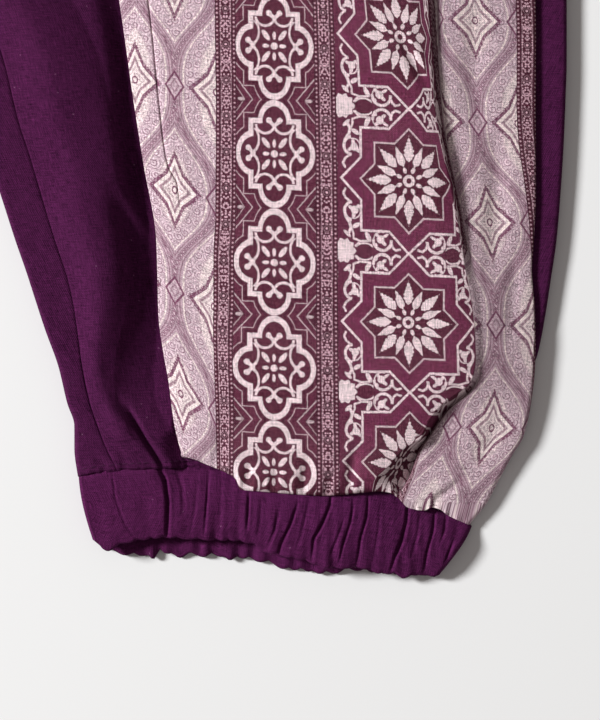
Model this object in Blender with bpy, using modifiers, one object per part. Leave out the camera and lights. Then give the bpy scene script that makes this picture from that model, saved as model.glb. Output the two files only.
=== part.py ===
"""Harem pants laid flat on their back, made of nine sewn pieces of thin cloth.

Metres, +Z up. The garment lies on the plane z = 0 with its waist towards +Y. The origin is under the
middle of its outline. Each leg is a flattened tube: the back panel lies on the surface, rolls up round
both sides and meets the front at a side seam and an inseam that lie on top. The front of each leg is a
plain panel towards the middle and a printed panel towards the side, with one long fold in the print. Left and
right are the wearer's: the left leg is at +X.
"""

import math
from collections import namedtuple

import bpy
import numpy as np

MM = 0.001

# Driving dimensions, in millimetres. Heights along the garment are measured up from the hem.
LENGTH = 900.0
CLOTH = 1.2
SEAM_GAP = 0.3
CENTRE_GAP = SEAM_GAP / 2
SIDE_SEAM_GAP = 1.3  # wider, because this seam turns over the rolled edge
CUFF_SEAM = 41.3
WAIST_SEAM = 861.7
WAIST_HALF_WIDTH = 170.0
CROTCH_HEIGHT = 275.0
CROTCH_SEAM_JOIN = 1.5  # above the crotch, the inner rolls have ended and the centre seams have begun
ROLL_REACH = 6.0  # how far in from the outline a rolled edge has turned level

# The legs curve in towards the crotch above this height, where they are this far from the middle.
FORK_START = 138.0
FORK_HALF_WIDTH = 81.0
FORK_STRAIGHT_SHARE = 0.55

# The cuff seam is an arch that drops away from its highest point towards the outer side.
ARCH_TOP_X = 133.0
ARCH_DROP = 0.00165

# One row for each section of a leg, in millimetres. "up" is its height above the hem, "bow" the share of the
# arch that it follows, "inner" and "outer" the outline, "inseam" and "side" how far those seams lie in from
# the outline, "print_seam" and "fold" the places across, and the rest the heights of the top of the cloth.
# Below the first row and above the last the cloth runs straight, so that it ends square at the seams.
Section = namedtuple(
    "Section",
    "up bow inner outer inseam side print_seam fold "
    "z_inseam z_plain z_print_seam z_lobe z_fold z_outer_lobe z_side",
)
SECTIONS = [
    Section(43.3, 1.00, 109.1, 251.3, 13.3, 4.0, 152.0, 215.0, 9.0, 11.0, 9.5, 12.0, 9.0, 10.5, 8.5),
    Section(52.0, 0.92, 107.2, 256.4, 12.0, 4.0, 147.5, 221.0, 9.0, 11.5, 8.5, 14.5, 8.0, 11.0, 9.0),
    Section(66.0, 0.80, 104.5, 264.4, 10.0, 4.0, 142.0, 232.0, 9.0, 12.0, 8.0, 16.0, 8.0, 12.0, 10.0),
    Section(85.0, 0.62, 99.0, 271.8, 10.0, 4.0, 138.6, 248.0, 9.0, 12.5, 8.0, 17.0, 8.0, 13.0, 10.5),
    Section(105.0, 0.42, 91.9, 275.7, 13.5, 4.5, 138.0, 250.0, 9.0, 13.0, 8.0, 17.0, 8.5, 13.0, 10.0),
    Section(125.0, 0.22, 85.2, 280.3, 15.0, 7.0, 137.3, 248.5, 9.0, 13.0, 8.0, 16.5, 9.0, 12.5, 9.5),
    Section(150.0, 0.08, 76.9, 282.8, 15.5, 9.0, 133.8, 243.0, 9.0, 13.0, 8.0, 16.0, 9.0, 12.0, 9.0),
    Section(175.0, 0.00, 67.5, 284.8, 17.0, 10.5, 129.8, 239.4, 9.0, 13.0, 8.0, 16.0, 9.0, 12.0, 9.0),
    Section(210.0, 0.00, 51.9, 285.1, 18.0, 10.5, 124.1, 234.0, 9.0, 12.5, 8.0, 16.0, 9.0, 12.0, 9.0),
    Section(240.0, 0.00, 35.5, 285.0, 15.0, 10.5, 119.5, 230.0, 9.0, 12.0, 8.0, 15.0, 9.0, 11.5, 9.0),
    Section(275.0, 0.00, 0.0, 285.0, 2.5, 10.5, 114.0, 227.5, 9.0, 11.5, 8.5, 14.0, 9.0, 11.5, 9.0),
    Section(300.0, 0.00, 0.0, 285.0, 2.5, 10.5, 111.0, 226.0, 9.0, 11.0, 8.8, 13.5, 9.2, 11.5, 9.0),
    Section(400.0, 0.00, 0.0, 284.0, 2.5, 10.5, 101.0, 222.0, 9.0, 11.0, 9.0, 12.5, 9.4, 11.0, 9.0),
    Section(600.0, 0.00, 0.0, 275.0, 2.5, 10.5, 92.0, 216.0, 9.0, 11.0, 9.0, 12.0, 9.4, 11.0, 9.0),
    Section(700.0, 0.00, 0.0, 262.0, 2.5, 10.5, 86.0, 206.0, 9.0, 11.0, 9.0, 12.0, 9.4, 11.0, 9.0),
    Section(760.0, 0.00, 0.0, 247.0, 2.5, 10.0, 81.0, 195.0, 9.0, 11.2, 9.0, 12.2, 9.4, 11.2, 9.0),
    Section(800.0, 0.00, 0.0, 231.0, 2.5, 9.5, 76.0, 183.0, 9.2, 11.4, 9.2, 12.2, 9.6, 11.2, 9.0),
    Section(830.0, 0.00, 0.0, 212.0, 2.5, 9.0, 70.0, 168.0, 9.4, 11.2, 9.4, 11.8, 9.6, 11.0, 9.0),
    Section(859.7, 0.00, 0.0, 176.0, 2.5, 8.0, 60.0, 138.0, 9.6, 10.4, 9.6, 10.6, 9.8, 10.4, 9.0),
]

# Heights of the rows of points that the panels are lofted through, and the points in each stretch of a row.
LEG_ROWS = [CUFF_SEAM, 43.3, 50, 59, 70, 84, 102, 124, 150, 180, 208, 232, 250, 263, 271, CROTCH_HEIGHT]
BODY_ROWS = [CROTCH_HEIGHT + CROTCH_SEAM_JOIN, 290, 320, 400, 500, 600, 700, 760, 810, 840, 859.7, WAIST_SEAM]
PLAIN_STEPS = 6
LOBE_STEPS = 5
OUTER_LOBE_STEPS = 4
UNDERSIDE_STEPS = 5
ROLL_STEPS = 4
SIDE_SEAM_LEAD = (5.0, 0.8)  # how far before the side seam the print's last two points lie
BACK_SEAM_LEAD = 0.8  # how far past the side seam the back's second point lies
CROWN_POWER = 0.8  # below 1, the swell of a panel is fuller than half a sine wave
INSEAM_SLANT_GAIN = 2.5  # how much wider the inseam's gap is along a row for each mm that the edge moves in

# Cuff hem: the front layer ends higher towards the inner side, and the back layer shows below it there.
HEM_INNER_X = 114.1
HEM_OUTER_X = 238.7
HEM_FRONT_RISE = 13.7
HEM_FRONT_FALL = (160.0, 222.0)
HEM_BACK_HEIGHTS = (10.0, 0.8)
HEM_BACK_SPAN = (119.0, 222.0)

# Gathered bands: how many gathers cross the front, how deep they dip, the height of the front's top, the
# points across it, and where the rings of points lie from one edge of the band (0) to its seam (1).
Band = namedtuple("Band", "gathers depth front_z columns shares")
CUFF_BAND = Band(11, 1.3, 11.5, 36, (0.0, 0.45, 0.95, 1.0))
WAISTBAND = Band(19, 1.2, 11.0, 60, (0.0, 0.5, 1.0))
BAND_END_BLEND = 6  # the front reaches its full height within one part in this many of the width
GATHER_SWAY = ((0.35, 5.1 * math.pi), (0.2, 13.0))  # shares and rates of a phase that makes gathers uneven

PLUM = (0.062, 0.008, 0.045)
PRINT_GROUND = (0.36, 0.17, 0.24)
CLOTH_ROUGHNESS = 0.85


def clear_scene():
    for obj in list(bpy.data.objects):
        bpy.data.objects.remove(obj, do_unlink=True)


def cloth_material(name, colour):
    material = bpy.data.materials.new(name)
    material.use_nodes = True
    shader = material.node_tree.nodes["Principled BSDF"]
    shader.inputs["Base Color"].default_value = (*colour, 1.0)
    shader.inputs["Roughness"].default_value = CLOTH_ROUGHNESS
    shader.inputs["Metallic"].default_value = 0.0
    return material


def smoothstep(low, high, value):
    share = min(max((value - low) / (high - low), 0.0), 1.0)
    return share * share * (3.0 - 2.0 * share)


def gentle_slopes(places, values):
    """Slopes of a curve through the values that never overshoots them."""
    steps = np.diff(values) / np.diff(places)
    slopes = np.zeros(len(values))
    slopes[0], slopes[-1] = steps[0], steps[-1]
    for i in range(1, len(values) - 1):
        if steps[i - 1] * steps[i] > 0:
            slopes[i] = 2.0 * steps[i - 1] * steps[i] / (steps[i - 1] + steps[i])
    return slopes


def read_curve(places, values, at):
    slopes = gentle_slopes(places, values)
    i = int(np.clip(np.searchsorted(places, at) - 1, 0, len(places) - 2))
    width = places[i + 1] - places[i]
    t = (at - places[i]) / width
    start = (1 + 2 * t) * (1 - t) ** 2 * values[i] + t * (1 - t) ** 2 * width * slopes[i]
    end = t * t * (3 - 2 * t) * values[i + 1] + t * t * (t - 1) * width * slopes[i + 1]
    return start + end


def fork_edge(up):
    """Half the gap between the legs: nearly straight from FORK_START, then round up to the crotch."""
    t = min((up - FORK_START) / (CROTCH_HEIGHT - FORK_START), 1.0)
    straight = FORK_STRAIGHT_SHARE * FORK_HALF_WIDTH * t
    rounded = (1 - FORK_STRAIGHT_SHARE) * FORK_HALF_WIDTH * (1 - math.sqrt(1 - t * t))
    return max(FORK_HALF_WIDTH - straight - rounded, SEAM_GAP)


def section_at(up):
    """The section at a height, read from smooth curves through the table."""
    places = np.array([row.up for row in SECTIONS])
    at = min(max(up, places[0]), places[-1])
    values = {}
    for name in Section._fields:
        column = np.array([getattr(row, name) for row in SECTIONS])
        values[name] = float(read_curve(places, column, at))
    if up > FORK_START:
        values["inner"] = fork_edge(up)
    values["up"] = up
    return Section(**values)


def arch_drop(x):
    return ARCH_DROP * (x - ARCH_TOP_X) ** 2


def level_way(height):
    """The way along a rolled edge from the outline's extreme to where the cloth is level."""
    return math.pi / 4 * (ROLL_REACH + height / 2)


def rolled_edge(way, edge_x, inwards, height):
    """A point on a rolled edge, by its way from the outline's extreme: below 0 over the top."""
    angle = math.pi / 2 * min(abs(way) / level_way(height), 1.0)
    past = max(abs(way) - level_way(height), 0.0)
    x = edge_x + inwards * (ROLL_REACH * (1 - math.cos(angle)) + past)
    z = height / 2 - math.copysign(height / 2 * math.sin(angle), way)
    return x, z


def seam_way(offset, height):
    """The way to a seam that is seen from above at an offset in from the outline."""
    if offset >= ROLL_REACH:
        return -(level_way(height) + offset - ROLL_REACH)
    return -level_way(height) * math.acos(1 - offset / ROLL_REACH) / (math.pi / 2)


def crowned(start, end, crown, steps):
    """Points across from start to end, each (x, z), that swell to the crown's height half way."""
    points = []
    for i in range(steps + 1):
        t = i / steps
        straight = start[1] + (end[1] - start[1]) * t
        swell = (crown - (start[1] + end[1]) / 2) * math.sin(math.pi * t) ** CROWN_POWER
        points.append((start[0] + (end[0] - start[0]) * t, straight + swell))
    return points


def placed(points, section):
    """Section points as metres in the garment's frame. Rows near the cuff follow the cuff's arch."""
    return [
        (x * MM, (section.up - section.bow * arch_drop(x) - LENGTH / 2) * MM, z * MM) for x, z in points
    ]


def inseam_half_gap(section):
    """Half the gap at the inseam. Where the seam slants towards the crotch, it is wider along the row."""
    slant = section_at(section.up - 1.0).inner - section.inner
    return SEAM_GAP / 2 * (1 + INSEAM_SLANT_GAIN * max(slant, 0.0))


def inseam_point(section):
    """Where the front meets the back at the inner side: on the rolled edge, or at the centre seam."""
    if section.up > CROTCH_HEIGHT:
        return CENTRE_GAP, section.z_inseam
    way = seam_way(section.inseam, section.z_inseam) - inseam_half_gap(section)
    return rolled_edge(way, section.inner, 1, section.z_inseam)


def plain_front_row(section):
    end = (section.print_seam - SEAM_GAP / 2, section.z_print_seam)
    return placed(crowned(inseam_point(section), end, section.z_plain, PLAIN_STEPS), section)


def print_row(section):
    seam = seam_way(section.side, section.z_side) - SIDE_SEAM_GAP / 2
    ways = [seam - lead for lead in SIDE_SEAM_LEAD] + [seam]
    side = [rolled_edge(way, section.outer, -1, section.z_side) for way in ways]
    start = (section.print_seam + SEAM_GAP / 2, section.z_print_seam)
    fold = (section.fold, section.z_fold)
    lobe = crowned(start, fold, section.z_lobe, LOBE_STEPS)
    outer_lobe = crowned(fold, side[0], section.z_outer_lobe, OUTER_LOBE_STEPS)
    return placed(lobe + outer_lobe[1:-1] + side, section)


def back_row(section):
    """Side seam, round the outer edge, across underneath, and round the inner edge to the inseam."""
    outer_level = level_way(section.z_side)
    seam = seam_way(section.side, section.z_side) + SIDE_SEAM_GAP / 2
    ways = [seam] + list(np.linspace(max(seam, -outer_level) + BACK_SEAM_LEAD, outer_level, ROLL_STEPS + 1))
    points = [rolled_edge(way, section.outer, -1, section.z_side) for way in ways]
    inner_roll = []
    inner_foot = CENTRE_GAP
    if section.up <= CROTCH_HEIGHT:
        inseam = seam_way(section.inseam, section.z_inseam) + inseam_half_gap(section)
        ways = np.linspace(level_way(section.z_inseam), inseam, ROLL_STEPS + 1)
        inner_roll = [rolled_edge(way, section.inner, 1, section.z_inseam) for way in ways]
        inner_foot = inner_roll.pop(0)[0]
    across = np.linspace(points[-1][0], inner_foot, UNDERSIDE_STEPS + 1)[1:]
    return placed(points + [(x, 0.0) for x in across] + inner_roll, section)


def gather_dip(share, band):
    """How far the top of a gathered band dips at a share of its width. The gathers are uneven."""
    phase = band.gathers * share + sum(amount * math.sin(rate * share) for amount, rate in GATHER_SWAY)
    return band.depth * (1 - math.cos(2 * math.pi * phase)) / 2


def band_ring(inner, outer, end_z, band, front_y, back_y):
    """One ring of a flattened band: across the front, round the outer end, back underneath and round."""
    width = outer - inner - 2 * ROLL_REACH
    ring = []
    for i in range(band.columns + 1):
        t = i / band.columns
        x = inner + ROLL_REACH + width * t
        fullness = min(1.0, BAND_END_BLEND * t, BAND_END_BLEND * (1 - t))
        ring.append((x, front_y(x), end_z + fullness * (band.front_z - end_z - gather_dip(t, band))))
    shares = [i / (ROLL_STEPS + 1) for i in range(1, ROLL_STEPS + 1)]
    for share in shares:
        x, z = rolled_edge((2 * share - 1) * level_way(end_z), outer, -1, end_z)
        ring.append((x, (1 - share) * front_y(x) + share * back_y(x), z))
    for x in np.linspace(outer - ROLL_REACH, inner + ROLL_REACH, UNDERSIDE_STEPS + 1):
        ring.append((x, back_y(x), 0.0))
    for share in shares:
        x, z = rolled_edge((1 - 2 * share) * level_way(end_z), inner, 1, end_z)
        ring.append((x, share * front_y(x) + (1 - share) * back_y(x), z))
    return [(x * MM, (y - LENGTH / 2) * MM, z * MM) for x, y, z in ring]


def front_hem(x):
    return HEM_FRONT_RISE * (1 - smoothstep(*HEM_FRONT_FALL, x))


def back_hem(x):
    share = min(max((x - HEM_BACK_SPAN[0]) / (HEM_BACK_SPAN[1] - HEM_BACK_SPAN[0]), 0.0), 1.0)
    return HEM_BACK_HEIGHTS[0] + (HEM_BACK_HEIGHTS[1] - HEM_BACK_HEIGHTS[0]) * share


def cuff_rings():
    """Rings from the hem to the seam. The last two are alike, so that the cuff ends square at its seam."""
    top = SECTIONS[0]
    end_z = (top.z_inseam + top.z_side) / 2
    rings = []
    for share in CUFF_BAND.shares:
        widening = min(share / CUFF_BAND.shares[-2], 1.0)

        def between(hem, x, share=share):
            seam = CUFF_SEAM - SEAM_GAP - arch_drop(x)
            return hem(x) + (seam - hem(x)) * share

        rings.append(
            band_ring(
                inner=HEM_INNER_X + (top.inner - HEM_INNER_X) * widening,
                outer=HEM_OUTER_X + (top.outer - HEM_OUTER_X) * widening,
                end_z=end_z,
                band=CUFF_BAND,
                front_y=lambda x, between=between: between(front_hem, x),
                back_y=lambda x, between=between: between(back_hem, x),
            )
        )
    return rings


def waistband_rings():
    rings = []
    for share in WAISTBAND.shares:
        up = WAIST_SEAM + SEAM_GAP + (LENGTH - WAIST_SEAM - SEAM_GAP) * share
        rings.append(
            band_ring(
                inner=-WAIST_HALF_WIDTH,
                outer=WAIST_HALF_WIDTH,
                end_z=SECTIONS[-1].z_side,
                band=WAISTBAND,
                front_y=lambda x, up=up: up,
                back_y=lambda x, up=up: up,
            )
        )
    return rings


def mirrored(rows):
    return [[(-x, y, z) for x, y, z in reversed(row)] for row in rows]


def lofted(name, rows, ring=False, short_end="end"):
    """Cloth lofted through rows of points, as a wall that goes in from them. Rows have the same points,
    apart from those that stop short, at the end that short_end names, where the inner roll has ended."""
    width = max(len(row) for row in rows)
    points, index = [], []
    for row in rows:
        first = width - len(row) if short_end == "start" else 0
        index.append({first + i: len(points) + i for i in range(len(row))})
        points.extend(row)
    faces = []
    for lower, upper in zip(index, index[1:], strict=False):
        for i in range(width if ring else width - 1):
            j = (i + 1) % width
            if {i, j} <= lower.keys() and {i, j} <= upper.keys():
                faces.append((lower[i], lower[j], upper[j], upper[i]))
    mesh = bpy.data.meshes.new(name)
    mesh.from_pydata(points, [], faces)
    mesh.shade_smooth()
    obj = bpy.data.objects.new(name, mesh)
    wall = obj.modifiers.new("Cloth wall", "SOLIDIFY")
    wall.thickness = CLOTH * MM
    wall.offset = -1.0
    wall.use_even_offset = False
    return obj


def build_leg(side, turned, plum, printed):
    """The four pieces of one leg, and the materials they take. "turned" mirrors them to the other side."""
    sections = [section_at(up) for up in LEG_ROWS + BODY_ROWS]
    backs = [back_row(section) for section in sections]
    fronts = [plain_front_row(section) for section in sections]
    prints = [print_row(section) for section in sections]
    cuffs = cuff_rings()
    if turned:
        backs, fronts, prints, cuffs = (mirrored(rows) for rows in (backs, fronts, prints, cuffs))
    return [
        (lofted(f"back_{side}", backs, short_end="start" if turned else "end"), plum),
        (lofted(f"front_{side}", fronts), plum),
        (lofted(f"print_panel_{side}", prints), printed),
        (lofted(f"cuff_{side}", cuffs, ring=True), plum),
    ]


def main():
    clear_scene()
    collection = bpy.data.collections.new("Harem pants")
    bpy.context.scene.collection.children.link(collection)
    plum = cloth_material("Plum cloth", PLUM)
    printed = cloth_material("Printed cloth", PRINT_GROUND)
    pieces = build_leg("left", False, plum, printed) + build_leg("right", True, plum, printed)
    pieces.append((lofted("waistband", waistband_rings(), ring=True), plum))
    for obj, material in pieces:
        obj.data.materials.append(material)
        collection.objects.link(obj)


main()
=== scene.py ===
"""Harem pants laid flat on their back: plum plain-weave cloth with printed outer panels and gathered cuffs."""

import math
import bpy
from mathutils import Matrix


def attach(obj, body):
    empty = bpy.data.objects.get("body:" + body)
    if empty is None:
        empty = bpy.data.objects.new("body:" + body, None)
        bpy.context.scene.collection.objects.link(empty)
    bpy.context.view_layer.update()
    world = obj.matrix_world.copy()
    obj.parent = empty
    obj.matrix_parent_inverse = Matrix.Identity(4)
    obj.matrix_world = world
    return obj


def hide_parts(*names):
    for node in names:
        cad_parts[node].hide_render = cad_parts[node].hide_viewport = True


bl_info = {
    "name": "Harem Pants Laid Flat",
    "version": (1, 0, 0),
    "blender": (4, 5, 0),
    "location": "3D View > Sidebar > Harem pants",
    "description": "Builds harem pants of plum and printed cloth, laid flat on a pale table",
    "category": "Add Mesh",
}

from collections import namedtuple
from functools import partial, partialmethod, reduce

import bpy
import numpy as np
from bpy.props import FloatProperty, FloatVectorProperty, IntProperty, PointerProperty
from bpy.types import Operator, Panel, PropertyGroup
from mathutils import Vector

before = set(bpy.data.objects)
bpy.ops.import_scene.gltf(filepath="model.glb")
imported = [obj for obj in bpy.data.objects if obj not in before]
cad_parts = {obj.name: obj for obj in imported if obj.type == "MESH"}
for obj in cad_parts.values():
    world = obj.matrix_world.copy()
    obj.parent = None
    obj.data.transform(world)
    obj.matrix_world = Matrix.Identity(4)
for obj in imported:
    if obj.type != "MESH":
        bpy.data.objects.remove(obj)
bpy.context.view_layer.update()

MM = 0.001
BODY = "root"

# ---------------------------------------------------------------------------------------------------------
# Sizes of the garment, in millimetres. Heights are measured up from the hem, places across from the middle.
# ---------------------------------------------------------------------------------------------------------
LENGTH = 900.0
CROTCH = 275.0
WAIST_SEAM = 861.7
CENTRE_GAP = 0.15
SEAM_TOP = 41.0  # the highest point of the cuff seam
FOLDS_TOP = 209  # the leg is full of folds up to this height

# How much of the cuff seam's arch a row of cloth keeps, by its height.
ARCH_FADE = [(43, 1), (52, 0.92), (66, 0.8), (85, 0.62), (105, 0.42), (125, 0.22), (150, 0.08), (175, 0)]

# Lines that run up a leg, as (height, place across).
INNER_OUTLINE = [
    (36, 108.6), (47.2, 107.2), (55.4, 107.2), (63.7, 104.6), (77, 101.4), (90, 96.7), (101.9, 92.8),
    (110.9, 89.9), (122.4, 85.9), (137.9, 80.9), (160, 73.5), (185, 63.3), (210, 52.0), (225, 44.5),
    (240, 35.7), (250, 29.2), (258, 23.1), (265, 17), (271, 10), (275, 0.3), (900, 0.3),
]
INSEAM = [
    (37.5, 123.6), (41, 122.3), (46.8, 119.4), (55.1, 116.2), (63.7, 113.3), (77.8, 110.4), (87.8, 109),
    (98.3, 107.5), (109.4, 105), (122.4, 100.7), (139.3, 95.6), (151.6, 92), (164.9, 87.7), (191.5, 80.9),
    (210, 71.5), (225, 61), (240, 50.5), (258, 32), (268, 19), (275, 2.8), (900, 2.8),
]
PRINT_EDGE = [
    (38, 149.6), (43.9, 146.8), (46.1, 146), (56.2, 143.5), (71.6, 141.4), (83.9, 139.2), (95, 137.8),
    (122.4, 137), (150.1, 132.4), (175.7, 128.4), (196.6, 125.5), (208.8, 123.7), (240, 119.5), (275, 114),
    (300, 111), (400, 101), (600, 92), (700, 86), (760, 81), (800, 76), (830, 70), (861, 60),
]
TUCK = [
    (38, 158.5), (60, 154.5), (90, 150), (120, 147), (142.4, 144.7), (149, 141.4), (156.6, 139.9),
    (166, 138.8), (183.2, 137), (194, 136), (208.8, 134.2), (275, 125), (400, 112), (600, 103), (700, 97),
    (760, 91), (800, 85), (830, 78), (861, 67),
]
FOLD_EDGE = [
    (30.2, 214.1), (35.3, 215.2), (41.4, 220.9), (45, 223.8), (47.9, 227), (51.1, 232.4), (56.2, 234.6),
    (60, 237), (64.4, 241.2), (68.4, 247), (71, 250), (75.6, 251.5), (79.2, 251.9), (86.4, 251.7),
    (93.6, 251.1), (100.8, 250.2), (109.1, 248.6), (121.3, 246.6), (133, 244.6), (145.8, 241.9),
    (158.4, 239.2), (169.2, 237.3), (187.2, 235.7), (208.8, 234.6),
    (240, 230), (275, 227.5), (300, 226), (400, 222), (600, 216), (700, 206), (760, 195), (800, 183),
    (830, 168), (861, 138),
]
FOLD_FAR = [
    (27.4, 227), (32.4, 228.8), (36.7, 230.6), (42.8, 232.1), (48.2, 233.9), (51.8, 236.4), (56.9, 240),
    (61.9, 244), (68, 251.4), (75.6, 254.4), (86.4, 255.4), (93.6, 255.2), (100.8, 254.3), (109.1, 252.5),
    (121.3, 249.8), (133, 247.7), (145.8, 245), (158.4, 242.4), (169.2, 241), (187.2, 239.9), (208.8, 239.3),
    (240, 234.6), (275, 232), (300, 230.4), (400, 226), (600, 219.6), (700, 209.4), (760, 198.2), (800, 186),
    (830, 170.8), (861, 140.4),
]
LOW_SIDE = [  # where the side seam lies under the outline
    (19.4, 250.3), (26.6, 256.3), (37.1, 261.9), (45.4, 266.5), (50.8, 269.8), (63.4, 272.8), (78.5, 274.3),
]
PRINT_SIDE = LOW_SIDE + [
    (86.4, 274.2), (99.7, 273.8), (110.9, 272.8), (122.4, 273.5), (136.8, 274.2), (172.8, 274.2),
    (208.8, 274.2), (275, 274.5), (400, 273.5), (600, 264.5), (700, 251.5), (760, 237), (800, 221.5),
    (830, 203), (861, 168),
]
OUTER_OUTLINE = LOW_SIDE + [
    (81, 275.2), (95, 278), (108.7, 280.1), (122.4, 282.1), (140, 283.6), (157.3, 284.7), (174.2, 285.4),
    (188.3, 285.8), (275, 285.6), (400, 284.2), (600, 275), (700, 262), (760, 247), (800, 231), (830, 212),
    (861, 176),
]

# Lines that run across the bottom of a leg, as (place across, height).
CUFF_SEAM = [
    (106.1, 36.4), (109, 37.1), (113, 38), (119.8, 38.9), (132.7, 39.7), (150, 40.3), (157.4, 39.4), (175.2, 37.6),
    (196.1, 35.3), (217.7, 31.7), (235.7, 25.9), (251.2, 19.1), (262, 14),
]
PRINT_HEM = [
    (140, 44.6), (146.4, 44.3), (151.8, 43), (154, 42), (162.5, 38.4), (166, 36), (167.3, 32.4), (175.2, 31.7),
    (188.9, 30.6), (198.2, 30.2), (217.7, 31.7), (221.3, 31.3), (224.9, 28.8), (227.8, 25.9), (233.9, 24.8),
    (236.4, 25.9), (239.3, 25.2), (242.9, 22.7), (250.1, 19.4), (256, 16.5),
]
FRONT_HEM = [
    (112, 14.2), (114, 13.7), (119.4, 10.4), (125.2, 13), (132.7, 14.4), (140.3, 15.1), (150.7, 14.4),
    (164.4, 14), (171.2, 13), (175.6, 10.1), (183.1, 8.3), (191.4, 6.5), (199, 4), (210.5, 4), (219.1, 1.8),
    (222.7, 1.8), (226.7, 0.2), (231.7, 1.4), (238.6, 0.4),
]
BACK_HEM = [
    (112, 14), (119.4, 10.1), (125.2, 8.6), (131.3, 8.3), (135.6, 7.2), (138.1, 9.7), (145.3, 7.6),
    (149, 8.6), (154, 7.9), (158, 8.4), (163, 6.8), (168, 7.4), (174.1, 6.1), (178, 5.4), (183.8, 3.2),
    (190, 3), (194.6, 1.8), (201.5, 1.8), (206, 3), (210.5, 2.9), (216, 2.2), (238.6, 0.7),
]

# Heights of the top of the cloth along those lines, as (height up the leg, height above the table).
Z_INSEAM = [(40, 8.6), (60, 9), (275, 9), (800, 9.2), (861, 9.6)]
Z_PLAIN = [(40, 10.6), (52, 12.4), (72, 13.4), (105, 14), (210, 14), (300, 12.4), (800, 11.6), (861, 10.6)]
PLAIN_FALL = [  # how far the plain front falls from its crown to the valley beside the print
    (40, 1.6), (52, 1.8), (58, 2.4), (64, 4), (72, 5.8), (90, 6.2), (106, 6.8), (116, 6.6), (124, 5.6), (132, 4),
    (138, 2.2), (144, 0.8), (152, 0), (900, 0),
]
PLAIN_BROW = [  # the place across of the steepest part of that fall, by height
    (40, 130), (50, 127), (57, 124), (66, 120.4), (75, 119.8), (86, 121.8), (100, 125.2), (112, 126.2), (122, 125),
    (132, 122.6), (144, 119), (861, 119),
]
BROW_WIDTH = [(40, 3.4), (66, 3.0), (90, 3.2), (110, 2.4), (132, 1.8), (900, 1.8)]
UPPER_FALL = [  # a second fall above it, whose foot runs out under the print
    (112, 0), (118, 2.2), (125, 4.6), (132, 6), (140, 7), (150, 6.9), (210, 6.7), (260, 6), (300, 5), (600, 4),
    (800, 2.6), (861, 1.2),
]
UPPER_BROW = [
    (112, 143), (118, 141), (125.3, 138), (131.4, 134), (138.6, 129.2), (144, 127), (150, 125.8), (158, 124.8),
    (168, 123.8), (188, 121.9), (202, 119.6), (240, 113), (300, 104), (400, 95), (600, 84), (700, 78), (800, 68),
    (861, 54),
]
UPPER_WIDTH = [(112, 1.2), (140, 1.3), (170, 1.5), (190, 1.9), (210, 2.4), (300, 7), (861, 7)]
PLAIN_RISE = [  # how far in from the inseam the plain front has risen to its crown
    (40, 12), (56, 11), (66, 8), (76, 7), (88, 9), (100, 11.5), (130, 15), (160, 17), (900, 17),
]
Z_PRINT_EDGE = [
    (40, 8.2), (60, 7.2), (90, 6.6), (120, 7), (150, 7.6), (210, 7.8), (300, 8.2), (600, 8.6), (800, 9.2), (861, 9.8),
]
Z_LOBE = [
    (40, 11.2), (52, 12), (66, 12.6), (85, 13.2), (110, 13.6), (140, 14.4), (210, 14.7), (240, 14.4), (275, 14),
    (300, 13.5), (400, 12.5), (600, 12), (800, 12.2), (861, 10.8),
]
Z_FOLD = [
    (27, 6.8), (45, 6.9), (58, 7.1), (66, 8.8), (78, 10), (100, 10.5), (112, 10.4), (122, 9.8), (135, 9.3),
    (150, 9.1), (168, 9.9), (210, 10.2), (300, 9.8), (600, 9.2), (800, 9.4), (861, 9.8),
]
Z_OUTER_LOBE = [
    (30, 6.3), (45, 6.6), (60, 7), (78, 8), (100, 8.5), (130, 8.8), (155, 8.8), (168, 8.8), (210, 9), (600, 10.6),
    (800, 11), (861, 10.4),
]
Z_SIDE = [(19, 3.8), (35, 4.5), (50, 5.1), (80, 6), (100, 6.3), (150, 6.8), (210, 6.9), (600, 8.8), (861, 9.6)]
Z_STRIP = [(19, 3.6), (50, 4), (80, 4.3), (100, 4.4), (150, 4.8), (210, 4.9), (300, 6.8), (600, 8.2), (861, 8.8)]

# The swell across each part of the print, as (share of its width, share of its height).
LOBE_SWELL = [
    (0, 0), (0.02, 0.1), (0.06, 0.26), (0.14, 0.46), (0.32, 0.72), (0.55, 0.9), (0.78, 1), (0.93, 0.97), (1, 0.82),
]
OUTER_SWELL = [(0, 0), (0.12, 0.42), (0.35, 0.86), (0.6, 1), (0.85, 0.93), (1, 0.7)]


# A soft trough (depth above 0) or ridge (depth below 0) along a line, with a lip of its own height at its left.
Crease = namedtuple("Crease", "depth width line lip", defaults=[0.0])

PLAIN_CREASES = [
    Crease(1.5, 2.4, [(120.5, 68), (125, 62), (128.6, 56), (132.6, 49)]),
    Crease(2.6, 1.0, [(126.8, 62), (129.6, 56.6), (133.8, 49.8), (138.2, 43), (141, 38)], lip=0.2),
    Crease(1.0, 1.6, [(128, 156), (130, 146), (133.4, 137), (137.4, 129)]),
    Crease(1.6, 1.9, [(123.6, 134), (127.2, 126), (129.4, 115), (130.6, 104), (131.6, 92)]),
    Crease(-0.15, 2.2, [(122, 146), (126, 137), (130, 130), (134, 122)]),
    Crease(0.6, 3.2, [(116, 86), (119.5, 79), (122, 73)]),
    Crease(0.8, 5.0, [(101, 106), (106, 93), (113, 80), (119, 70)]),
    Crease(0.5, 3.0, [(111.5, 75), (117, 62), (121, 52)]),
    Crease(-0.4, 4.0, [(133, 66), (136.5, 58), (140, 50)]),
    Crease(0.5, 5.0, [(96, 165), (103, 150), (110, 136)]),
    Crease(0.7, 1.6, [(124, 46), (126, 42), (127, 38)]),
    Crease(0.8, 1.2, [(144.6, 47), (145, 43), (146, 38)]),
    Crease(0.6, 1.4, [(115, 44), (118, 41), (119, 37)]),
]
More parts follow.
